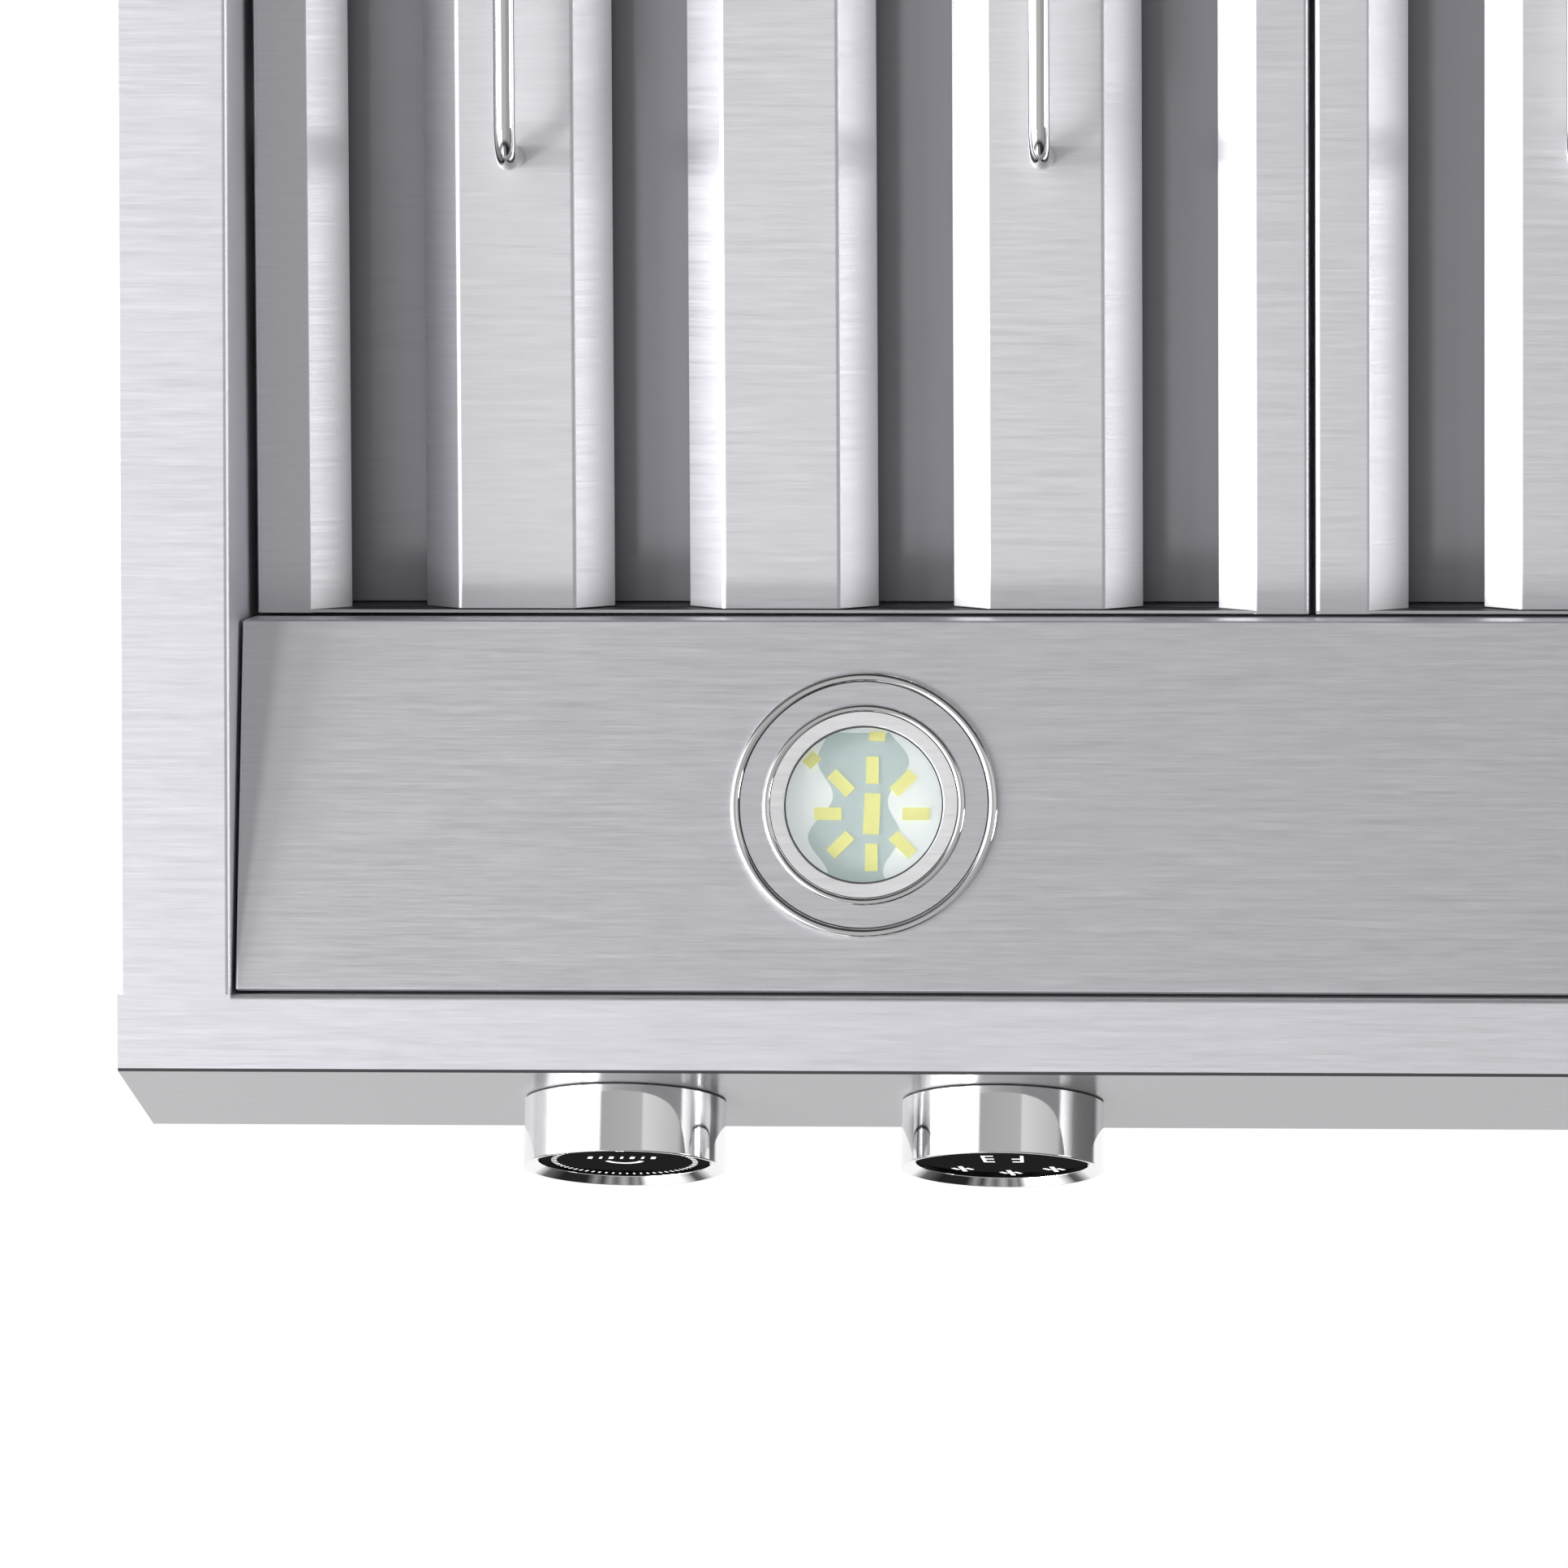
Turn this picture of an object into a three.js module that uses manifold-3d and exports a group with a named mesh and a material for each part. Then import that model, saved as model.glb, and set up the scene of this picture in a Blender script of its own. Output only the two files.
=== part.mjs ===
// An under-cabinet range hood: a folded steel shell with a leaning control fascia, three swing-down
// baffle filters, two LED lights, two push-and-turn knobs, and a double blower under a duct collar.
// Millimetres. +X is right when facing the front, +Y runs back to the wall, +Z is up.
// The origin is the middle of the top face's rear edge, where cabinet underside and wall meet.
import * as THREE from "three";
import { mergeVertices } from "three/addons/utils/BufferGeometryUtils.js";
import Module from "manifold-3d";

// Shell
const WIDTH = 908;
const HEIGHT = 254;
const TOP_DEPTH = 332;
const FASCIA_FOOT = 538.9;
const FASCIA_REACH = 559.3;
const FASCIA_HEIGHT = 77.4;
const SHEET = 1.2;
const GAP = 0.3;
const SIDE_FLANGE = 30;
const FRONT_FLANGE = 20.2;
const FRONT_RETURN_HEIGHT = 15;
const FASCIA_TOP_FLANGE = 10;
const INNER_WALL_HEIGHT = 70;
const RIM = -HEIGHT;
const HALF = WIDTH / 2;
const WALL_INSIDE = HALF - SHEET - GAP;
const RECESS_HALF = HALF - SIDE_FLANGE;
const LEAN = Math.atan((FASCIA_REACH - FASCIA_FOOT) / FASCIA_HEIGHT);

// Light panel, between the front flange and the filters
const LIGHT_PANEL_HALF = 423;
const LIGHT_PANEL_FRONT = -517.9;
const LIGHT_PANEL_REAR = -420.7;
const LIGHT_PANEL_LOW = 2;
const LIGHT_PANEL_HIGH = 22;
const LIGHT_PANEL_TOP = 66;
const LIGHT_PANEL_SHELF = 35;
const LIGHT_X = 257.5;
const LIGHT_Y = -469;
const LIGHT_HOLE_RADIUS = 31.5;
const LIGHT_TILT = Math.atan(
  (LIGHT_PANEL_HIGH - LIGHT_PANEL_LOW) / (LIGHT_PANEL_REAR - LIGHT_PANEL_FRONT),
);

// Rear ledge, where the filters' tongues rest
const LEDGE_DEPTH = 30;
const LEDGE_HEIGHT = 27.6;
const LEDGE_SHELF = 20;

// Filters
const FILTER_PITCH = 281.7;
const FILTER_HALF = 140;
const FILTER_LENGTH = 388.2;
const FILTER_HEIGHT = 22;
const FILTER_SHEET = 0.8;
const FRONT_WALL_HEIGHT = 12;
const FRONT_WALL_STEP = 1.2;
const FILTER_HINGE_Y = -32;
const FILTER_HINGE_Z = RIM + 28;
const FILTER_SLOPE = THREE.MathUtils.degToRad(2.5);
const BAFFLE_PITCH = 70.4;
const BAFFLE_FLAT = 30.8;
const BAFFLE_RISE = 9.8;
const UPPER_BAFFLE_FLAT = 38;
const UPPER_BAFFLE_LOW = 17.5;
const UPPER_BAFFLE_HIGH = 20;
const EDGE_FLAT = 14.1;
const TONGUE_WIDTH = 30;
const TONGUE_LENGTH = 16;
const TONGUE_X = 95;
const HANDLE_RADIUS = 2.8;
const HANDLE_DROP = 27;
const HANDLE_LENGTH = 150;
const HANDLE_FRONT = -267;
const HANDLE_BEND = 10;

// Knobs, square to the leaning fascia at half its height
const KNOBS = { outer_knob: 323, inner_knob: 222.5 };
const KNOB_RADIUS = 26.75;
const KNOB_LENGTH = 18.4;
const KNOB_LIFT = 0.6;
const KNOB_FACE_RADIUS = 22.6;
const STEM_RADIUS = 6;

// Duct collar, for rectangular duct 254 x 83 mm
const COLLAR_X = 252;
const COLLAR_Y = 81;
const COLLAR_CENTRE_Y = -114;
const COLLAR_RISE = 50;
const COLLAR_DROP = 29.7;
const COLLAR_FLANGE = 12;
const FLAP_Z = -20;
const FLAP_HINGE_Y = -82.5;
const FLAP_ROD_RADIUS = 2;

// Blower
const BLOWER_Z = RIM + 143;
const BLOWER_Y = COLLAR_CENTRE_Y + COLLAR_Y / 2 - 90;
const SCROLL_START_RADIUS = 64;
const SCROLL_END_RADIUS = 90;
const SCROLL_INNER_X = 38;
const SCROLL_OUTER_X = 124;
const WHEEL_RADIUS = 58;
const WHEEL_INNER_RADIUS = 48;
const WHEEL_START_X = 44;
const WHEEL_END_X = 116;
const BLADES = 24;
const MOTOR_RADIUS = 42;
const MOTOR_HALF = 31;
const SHAFT_RADIUS = 4;

const STEEL = { color: 0xc9c8cc, roughness: 0.35, metalness: 1 };
const GALVANISED = { color: 0xa9adb0, roughness: 0.5, metalness: 1 };
const CHROME = { color: 0xe8e8ea, roughness: 0.06, metalness: 1 };
const BLACK_GLASS = { color: 0x08080a, roughness: 0.05, metalness: 0 };
const LENS = { color: 0xdde6e4, roughness: 0.1, metalness: 0 };
const WHITE_BOARD = { color: 0xd7dfda, roughness: 0.6, metalness: 0 };
const DARK_PLASTIC = { color: 0x222426, roughness: 0.6, metalness: 0 };
const MOTOR_PAINT = { color: 0x3a3d40, roughness: 0.5, metalness: 0.4 };

const wasm = await Module();
wasm.setup();

// A closed solid from a geometry, with its shared vertices merged.
function toSolid(geometry) {
  const bare = geometry.clone();
  bare.deleteAttribute("normal");
  bare.deleteAttribute("uv");
  const merged = mergeVertices(bare, 1e-4);
  const index = merged.index.array;
  const triangles = [];
  for (let i = 0; i < index.length; i += 3) {
    const [a, b, c] = index.slice(i, i + 3);
    if (a !== b && b !== c && c !== a) triangles.push(a, b, c);
  }
  const vertProperties = new Float32Array(merged.attributes.position.array);
  const triVerts = new Uint32Array(triangles);
  return new wasm.Manifold(new wasm.Mesh({ numProp: 3, vertProperties, triVerts }));
}

function toGeometry(solid) {
  const mesh = solid.getMesh();
  const geometry = new THREE.BufferGeometry();
  geometry.setAttribute("position", new THREE.BufferAttribute(mesh.vertProperties, 3));
  geometry.setIndex(new THREE.BufferAttribute(mesh.triVerts, 1));
  return geometry;
}

function join(...geometries) {
  return toGeometry(geometries.map(toSolid).reduce((whole, piece) => whole.add(piece)));
}

function cut(geometry, ...tools) {
  return toGeometry(tools.map(toSolid).reduce((rest, tool) => rest.subtract(tool), toSolid(geometry)));
}

function box([x0, x1], [y0, y1], [z0, z1]) {
  const geometry = new THREE.BoxGeometry(x1 - x0, y1 - y0, z1 - z0);
  return geometry.translate((x0 + x1) / 2, (y0 + y1) / 2, (z0 + z1) / 2);
}

// Extrusions of an outline, whose axes turn into the two that aren't extruded.
function extrude(outline, depth) {
  const shape = outline instanceof THREE.Shape ? outline : new THREE.Shape(outline);
  return new THREE.ExtrudeGeometry(shape, { depth, bevelEnabled: false, curveSegments: 8 });
}

function alongX(outline, x0, x1) {
  const turn = new THREE.Matrix4().makeBasis(
    new THREE.Vector3(0, 1, 0),
    new THREE.Vector3(0, 0, 1),
    new THREE.Vector3(1, 0, 0),
  );
  return extrude(outline, x1 - x0).applyMatrix4(turn).translate(x0, 0, 0);
}

function alongY(outline, y0, y1) {
  return extrude(outline, y1 - y0).rotateX(Math.PI / 2).translate(0, y1, 0);
}

function alongZ(outline, z0, z1) {
  return extrude(outline, z1 - z0).translate(0, 0, z0);
}

// A solid of revolution about +Z from [radius, z] points.
function revolve(profile, segments = 28) {
  const points = profile.map(([radius, z]) => new THREE.Vector2(radius, z));
  return new THREE.LatheGeometry(points, segments).rotateX(Math.PI / 2);
}

function ring(inner, outer, z0, z1, segments) {
  return revolve([[inner, z0], [outer, z0], [outer, z1], [inner, z1], [inner, z0]], segments);
}

function rod(radius, z0, z1, segments) {
  return revolve([[0, z0], [radius, z0], [radius, z1], [0, z1]], segments);
}

// A bent sheet's section: the given face line, then the same line one thickness to its left.
function sheetSection(line, thickness = SHEET) {
  const points = line.map(([a, b]) => new THREE.Vector2(a, b));
  const heading = (from, to) => to.clone().sub(from).normalize();
  const offset = points.map((point, i) => {
    const before = i > 0 ? heading(points[i - 1], point) : heading(point, points[i + 1]);
    const after = i < points.length - 1 ? heading(point, points[i + 1]) : before;
    const left = new THREE.Vector2(-before.y, before.x);
    const mitre = before.clone().add(after).normalize();
    mitre.set(-mitre.y, mitre.x);
    return point.clone().addScaledVector(mitre, thickness / mitre.dot(left));
  });
  return [...points, ...offset.reverse()];
}

// The same line on the hood's other side, still with the sheet on its inside.
function onSide(line, side) {
  return side > 0 ? line : line.map(([x, z]) => [-x, z]).reverse();
}

const hood = new THREE.Group();
hood.name = "range_hood";

function add(parent, name, geometry, finish) {
  const mesh = new THREE.Mesh(geometry, new THREE.MeshStandardMaterial(finish));
  mesh.name = name;
  parent.add(mesh);
  return mesh;
}

function group(x, y, z, tiltX = 0) {
  const place = new THREE.Group();
  place.position.set(x, y, z);
  place.rotation.x = tiltX;
  hood.add(place);
  return place;
}

// Outer wall cut to the hood's side outline, with the rim flange and the inner wall folded from it.
function sidePanel(side) {
  const clear = SHEET + GAP;
  const insideFascia = clear / Math.cos(LEAN);
  const overFlange = RIM + clear;
  const underTopFlange = RIM + FASCIA_HEIGHT - clear;
  const front = -(FASCIA_FOOT - FRONT_FLANGE) + GAP;
  const behindTopFlange = -FASCIA_REACH + FASCIA_TOP_FLANGE + GAP;
  const slope = (HEIGHT - FASCIA_HEIGHT) / (FASCIA_REACH - TOP_DEPTH);
  const outline = [
    [-clear, RIM],
    [front, RIM],
    [front, RIM + FRONT_RETURN_HEIGHT + GAP],
    [front - clear - GAP, RIM + FRONT_RETURN_HEIGHT + GAP],
    [front - clear - GAP, overFlange],
    [-FASCIA_FOOT + insideFascia - clear * Math.tan(LEAN), overFlange],
    [-FASCIA_REACH + insideFascia + clear * Math.tan(LEAN), underTopFlange],
    [behindTopFlange, underTopFlange],
    [behindTopFlange, -clear - (-behindTopFlange - TOP_DEPTH) * slope],
    [-TOP_DEPTH, -clear],
    [-clear, -clear],
  ].map(([y, z]) => new THREE.Vector2(y, z));
  const faces = [side * (HALF - SHEET), side * HALF].sort((a, b) => a - b);
  const fold = [
    [RECESS_HALF, RIM + INNER_WALL_HEIGHT],
    [RECESS_HALF, RIM],
    [HALF, RIM],
    [HALF, RIM + SIDE_FLANGE],
  ];
  return join(alongX(outline, ...faces), alongY(sheetSection(onSide(fold, side)), front, -clear));
}

// Return, rim flange, leaning control face and top flange in one sheet, the hood's full width.
function frontFascia() {
  const flangeRear = -(FASCIA_FOOT - FRONT_FLANGE);
  const line = [
    [-FASCIA_REACH + FASCIA_TOP_FLANGE, RIM + FASCIA_HEIGHT],
    [-FASCIA_REACH, RIM + FASCIA_HEIGHT],
    [-FASCIA_FOOT, RIM],
    [flangeRear, RIM],
    [flangeRear, RIM + FRONT_RETURN_HEIGHT],
  ];
  const holes = Object.values(KNOBS).map((x) => {
    const drill = rod(STEM_RADIUS + 2, -SHEET * 3, SHEET * 3, 24).rotateX(Math.PI / 2 + LEAN);
    return drill.translate(x, -(FASCIA_FOOT + FASCIA_REACH) / 2, RIM + FASCIA_HEIGHT / 2);
  });
  return cut(alongX(sheetSection(line), -HALF, HALF), ...holes);
}

function upperFrontPanel() {
  const foot = RIM + FASCIA_HEIGHT + GAP;
  const head = -(SHEET + GAP);
  const line = [
    [-TOP_DEPTH + 14, head],
    [-TOP_DEPTH, head],
    [-FASCIA_REACH + 2, foot],
    [-FASCIA_REACH + 18, foot],
  ];
  return alongX(sheetSection(line), -WALL_INSIDE, WALL_INSIDE);
}

function keyhole(x, y) {
  const head = 5.5;
  const slot = 2.75;
  const reach = 11;
  const path = new THREE.Path();
  path.absarc(x, y, head, Math.PI / 3, (2 * Math.PI) / 3, true);
  path.lineTo(x - slot, y + reach);
  path.absarc(x, y + reach, slot, Math.PI, 0, true);
  path.closePath();
  return path;
}

function roundHole(x, y, radius) {
  const path = new THREE.Path();
  path.absarc(x, y, radius, 0, 2 * Math.PI, true);
  return path;
}

function rectangle(x0, x1, y0, y1, ShapeClass = THREE.Shape) {
  const path = new ShapeClass();
  path.moveTo(x0, y0);
  path.lineTo(x1, y0);
  path.lineTo(x1, y1);
  path.lineTo(x0, y1);
  path.closePath();
  return path;
}

const GLAND_X = -330;
const GLAND_Y = -60;

// Top plate with the duct opening, four keyholes for the cabinet screws and the cable entry.
function topPanel() {
  const plate = rectangle(-HALF, HALF, -TOP_DEPTH, 0);
  const ductX = COLLAR_X / 2 + 1;
  const ductY = COLLAR_Y / 2 + 1;
  plate.holes.push(
    rectangle(-ductX, ductX, COLLAR_CENTRE_Y - ductY, COLLAR_CENTRE_Y + ductY, THREE.Path),
    keyhole(-380, -50),
    keyhole(380, -50),
    keyhole(-380, -290),
    keyhole(380, -290),
    roundHole(GLAND_X, GLAND_Y, 11),
  );
  const flanges = [-1, 1].map((side) => {
    const x = [side * WALL_INSIDE, side * (WALL_INSIDE - SHEET)].sort((a, b) => a - b);
    return box(x, [-TOP_DEPTH + 20, -10], [-16, -SHEET / 2]);
  });
  return join(alongZ(plate, -SHEET, 0), ...flanges);
}

function rearPanel() {
  return box([-HALF, HALF], [-SHEET, 0], [RIM, -(SHEET + GAP)]);
}

// Folded channel along the wall that catches grease and carries the filters' tongues.
function rearLedge() {
  const back = -(SHEET + 2 * GAP);
  const line = [
    [-LEDGE_DEPTH + LEDGE_SHELF, RIM + LEDGE_HEIGHT],
    [-LEDGE_DEPTH, RIM + LEDGE_HEIGHT],
    [-LEDGE_DEPTH, RIM],
    [back, RIM],
    [back, RIM + 20],
  ];
  return alongX(sheetSection(line), -RECESS_HALF + 0.5, RECESS_HALF - 0.5);
}

function onLightPanel(x, y) {
  const rise = (y - LIGHT_PANEL_FRONT) * Math.tan(LIGHT_TILT);
  return group(x, y, RIM + LIGHT_PANEL_LOW + rise, LIGHT_TILT);
}

function lightPanel() {
  const line = [
    [LIGHT_PANEL_FRONT, RIM + LIGHT_PANEL_LOW + 12],
    [LIGHT_PANEL_FRONT, RIM + LIGHT_PANEL_LOW],
    [LIGHT_PANEL_REAR, RIM + LIGHT_PANEL_HIGH],
    [LIGHT_PANEL_REAR, RIM + LIGHT_PANEL_TOP],
    [LIGHT_PANEL_REAR - LIGHT_PANEL_SHELF, RIM + LIGHT_PANEL_TOP],
  ];
  const holes = [-LIGHT_X, LIGHT_X].map((x) => {
    const rise = (LIGHT_Y - LIGHT_PANEL_FRONT) * Math.tan(LIGHT_TILT);
    const drill = rod(LIGHT_HOLE_RADIUS, -5, 5).rotateX(LIGHT_TILT);
    return drill.translate(x, LIGHT_Y, RIM + LIGHT_PANEL_LOW + rise);
  });
  return cut(alongX(sheetSection(line), -LIGHT_PANEL_HALF, LIGHT_PANEL_HALF), ...holes);
}

// A puck light: trim ring on the panel, inner ring, lens, LED board and a housing cup behind.
function addLight(side, x) {
  const place = onLightPanel(x, LIGHT_Y);
  const name = `${side}_light`;
  const trim = [
    [29.8, 14],
    [29.8, 0.4],
    [26.7, 0.4],
    [26.7, -1.2],
    [33.4, -1.3],
    [34.2, -2],
    [35.2, -1.6],
    [35.2, -GAP],
    [31, -GAP],
    [31, 14],
    [29.8, 14],
  ];
  const innerRing = [
    [20.9, 0.4],
    [20.9, -1.4],
    [25.9, -1.6],
    [26.4, -1.2],
    [26.4, 0.4],
    [20.9, 0.4],
  ];
  const cup = [
    [0, 22],
    [0, 21],
    [28.3, 21],
    [28.3, 0.7],
    [29.4, 0.7],
    [29.4, 22],
    [0, 22],
  ];
  const lens = [
    [0, -1.6],
    [14, -1.5],
    [20.6, -1],
    [20.6, 0.4],
    [0, 0.4],
  ];
  add(place, `${name}_trim`, revolve(trim), STEEL);
  add(place, `${name}_inner_ring`, revolve(innerRing), STEEL);
  add(place, `${name}_lens`, revolve(lens), LENS);
  add(place, `${name}_board`, rod(24, 5, 6.6), WHITE_BOARD);
  add(place, `${name}_housing`, revolve(cup), GALVANISED);
}

// Filter parts lie in the filter's own frame: hinge line at the origin, front towards -Y.
function filterFrame() {
  const top = FILTER_HEIGHT;
  const bevelEnd = FILTER_HALF - EDGE_FLAT - (BAFFLE_RISE + 0.4);
  const rail = [
    [FILTER_HALF - 12, top],
    [FILTER_HALF, top],
    [FILTER_HALF, 0],
    [FILTER_HALF - EDGE_FLAT, 0],
    [bevelEnd, BAFFLE_RISE],
  ].reverse();
  const rails = [-1, 1].map((side) => {
    return alongY(sheetSection(onSide(rail, side), FILTER_SHEET), -FILTER_LENGTH, 0);
  });
  const corner = box(
    [-FILTER_HALF - 1, FILTER_HALF + 1],
    [-FILTER_LENGTH - 1, -FILTER_LENGTH + FRONT_WALL_STEP],
    [FRONT_WALL_HEIGHT + 0.2, top + 1],
  );
  const across = [-FILTER_HALF + FILTER_SHEET / 2, FILTER_HALF - FILTER_SHEET / 2];
  const inset = 0.1;
  const low = -FILTER_LENGTH + inset;
  const high = low + FRONT_WALL_STEP;
  const shelf = [FRONT_WALL_HEIGHT - FILTER_SHEET, FRONT_WALL_HEIGHT];
  const edge = FILTER_SHEET / 2;
  const walls = [
    box(across, [low, low + FILTER_SHEET], [edge, shelf[1]]),
    box(across, [low, high + FILTER_SHEET], shelf),
    box(across, [high, high + FILTER_SHEET], [shelf[0], top - edge]),
    box(across, [-inset - FILTER_SHEET, -inset], [edge, top - edge]),
  ];
  const tongues = [-TONGUE_X, TONGUE_X].map((x) => {
    const width = [x - TONGUE_WIDTH / 2, x + TONGUE_WIDTH / 2];
    return box(width, [-FILTER_SHEET / 2, TONGUE_LENGTH], [1, 1 + SHEET]);
  });
  return join(...rails.map((part) => cut(part, corner)), ...walls, ...tongues);
}

const BAFFLE_REAR = -FILTER_SHEET - 0.4;
const LOWER_BAFFLE_ENDS = [-FILTER_LENGTH + FILTER_SHEET + 0.4, BAFFLE_REAR];
const UPPER_BAFFLE_ENDS = [LOWER_BAFFLE_ENDS[0] + FRONT_WALL_STEP, BAFFLE_REAR];

// Strips across a row of channels, just inside their ends.
function endStrips([front, rear], halfWidth, z) {
  const inset = 0.5;
  return [
    [front + inset, front + inset + FILTER_SHEET],
    [rear - inset - FILTER_SHEET, rear - inset],
  ].map((y) => box([-halfWidth, halfWidth], y, z));
}

// Channels open upwards, whose flats face the cooktop.
function lowerBaffles() {
  const flat = BAFFLE_FLAT / 2;
  const wing = flat + BAFFLE_RISE;
  const channels = [-1, 0, 1].map((i) => {
    const x = i * BAFFLE_PITCH;
    const line = [
      [x - wing, BAFFLE_RISE],
      [x - flat, 0],
      [x + flat, 0],
      [x + wing, BAFFLE_RISE],
    ];
    return alongY(sheetSection(line, FILTER_SHEET), ...LOWER_BAFFLE_ENDS);
  });
  const height = [FILTER_SHEET / 2, BAFFLE_RISE - 1];
  const strips = endStrips(LOWER_BAFFLE_ENDS, BAFFLE_PITCH + flat, height);
  return join(...channels, ...strips);
}

// Channels open downwards, one over each gap between the lower ones.
function upperBaffles() {
  const flat = UPPER_BAFFLE_FLAT / 2;
  const wing = flat + UPPER_BAFFLE_HIGH - UPPER_BAFFLE_LOW;
  const channels = [-1.5, -0.5, 0.5, 1.5].map((i) => {
    const x = i * BAFFLE_PITCH;
    const line = [
      [x + wing, UPPER_BAFFLE_LOW],
      [x + flat, UPPER_BAFFLE_HIGH],
      [x - flat, UPPER_BAFFLE_HIGH],
      [x - wing, UPPER_BAFFLE_LOW],
    ];
    return alongY(sheetSection(line, FILTER_SHEET), ...UPPER_BAFFLE_ENDS);
  });
  const height = [UPPER_BAFFLE_LOW, UPPER_BAFFLE_HIGH - 0.4];
  const strips = endStrips(UPPER_BAFFLE_ENDS, 1.5 * BAFFLE_PITCH + flat, height);
  return join(...channels, ...strips);
}

function handlePath(x) {
  const path = new THREE.CurvePath();
  const front = HANDLE_FRONT;
  const rear = HANDLE_FRONT + HANDLE_LENGTH;
  const at = (y, z) => new THREE.Vector3(x, y, z);
  const low = -HANDLE_DROP;
  path.add(new THREE.LineCurve3(at(front, -GAP), at(front, low + HANDLE_BEND)));
  path.add(
    new THREE.QuadraticBezierCurve3(
      at(front, low + HANDLE_BEND),
      at(front, low),
      at(front + HANDLE_BEND, low),
    ),
  );
  path.add(new THREE.LineCurve3(at(front + HANDLE_BEND, low), at(rear - HANDLE_BEND, low)));
  path.add(
    new THREE.QuadraticBezierCurve3(
      at(rear - HANDLE_BEND, low),
      at(rear, low),
      at(rear, low + HANDLE_BEND),
    ),
  );
  path.add(new THREE.LineCurve3(at(rear, low + HANDLE_BEND), at(rear, -GAP)));
  return path;
}

// A wire handle: a round section swept along its staple-shaped path.
function handle(x) {
  const section = new THREE.Shape();
  section.absarc(0, 0, HANDLE_RADIUS, 0, 2 * Math.PI, false);
  return new THREE.ExtrudeGeometry(section, {
    extrudePath: handlePath(x),
    steps: 22,
    curveSegments: 4,
    bevelEnabled: false,
  });
}

function addFilter(side, x) {
  const place = group(x, FILTER_HINGE_Y, FILTER_HINGE_Z, -FILTER_SLOPE);
  const name = `${side}_filter`;
  add(place, `${name}_frame`, filterFrame(), STEEL);
  add(place, `${name}_lower_baffles`, lowerBaffles(), STEEL);
  add(place, `${name}_upper_baffles`, upperBaffles(), STEEL);
  add(place, `${name}_left_handle`, handle(-BAFFLE_PITCH), CHROME);
  add(place, `${name}_right_handle`, handle(BAFFLE_PITCH), CHROME);
  const magnetRear = LIGHT_PANEL_REAR - SHEET - GAP;
  const magnet = box([x - 20, x + 20], [magnetRear - 10, magnetRear], [RIM + 44, RIM + 60]);
  add(hood, `${name}_magnet`, magnet, DARK_PLASTIC);
}

// A knob's parts stand on the fascia: +Z of the group points out of it.
function addKnob(name, x) {
  const middle = -(FASCIA_FOOT + FASCIA_REACH) / 2;
  const place = group(x, middle, RIM + FASCIA_HEIGHT / 2, Math.PI / 2 + LEAN);
  const bore = KNOB_FACE_RADIUS + GAP;
  const skirt = 20.2;
  const grip = [
    [skirt, KNOB_LIFT],
    [KNOB_RADIUS, KNOB_LIFT],
    [KNOB_RADIUS, KNOB_LENGTH - 0.6],
    [KNOB_RADIUS - 0.6, KNOB_LENGTH],
    [bore, KNOB_LENGTH - 1.9],
    [bore, 13.8],
    [skirt, 13.8],
    [skirt, KNOB_LIFT],
  ];
  const faceLow = 14.2;
  const carriage = [
    [0, -16],
    [STEM_RADIUS, -16],
    [STEM_RADIUS, 11.4],
    [19.8, 11.4],
    [19.8, faceLow - GAP],
    [0, faceLow - GAP],
  ];
  add(place, `${name}_ring`, revolve(grip, 36), CHROME);
  add(place, `${name}_display`, rod(KNOB_FACE_RADIUS, faceLow, KNOB_LENGTH - 2, 36), BLACK_GLASS);
  add(place, `${name}_carriage`, revolve(carriage, 24), DARK_PLASTIC);
  const front = -(SHEET + GAP);
  const body = box([-16, 16], [-16, 16], [front - 20, front]);
  const bushing = rod(STEM_RADIUS + GAP, front - 18, front + 1, 24);
  add(place, `${name}_encoder`, cut(body, bushing), DARK_PLASTIC);
}

// Control box on the light panel's shelf, and the LED driver under the top panel.
function addElectrics() {
  const x = [150, 400];
  const y = [LIGHT_PANEL_REAR - 58, LIGHT_PANEL_REAR - 2];
  const floor = RIM + LIGHT_PANEL_TOP + GAP;
  const roof = floor + 34;
  const wall = 1;
  const inside = box(
    [x[0] + wall, x[1] - wall],
    [y[0] + wall, y[1] - wall],
    [floor + wall, roof + wall],
  );
  add(hood, "control_box", cut(box(x, y, [floor, roof]), inside), GALVANISED);
  const lidInside = box([x[0] + 8, x[1] - 8], [y[0] + 8, y[1] - 8], [roof, roof + 2.3]);
  const lid = cut(box(x, y, [roof + GAP, roof + 3.5]), lidInside);
  add(hood, "control_box_lid", lid, GALVANISED);
  const under = -(SHEET + 2 * GAP);
  add(hood, "led_driver", box([185, 275], [-272, -227], [under - 28, under]), DARK_PLASTIC);
  const capacitor = revolve([
    [0, under - 58],
    [14.5, under - 58],
    [17.5, under - 55],
    [17.5, under],
    [0, under],
  ], 24);
  add(hood, "run_capacitor", capacitor.translate(-210, -250, 0), DARK_PLASTIC);
  const bushing = revolve([
    [5, -24],
    [9, -24],
    [9, -8],
    [15, -8],
    [15, under],
    [10.3, under],
    [10.3, -GAP],
    [5, -GAP],
    [5, -24],
  ], 16);
  add(hood, "cable_gland", bushing.translate(GLAND_X, GLAND_Y, 0), DARK_PLASTIC);
}

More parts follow.
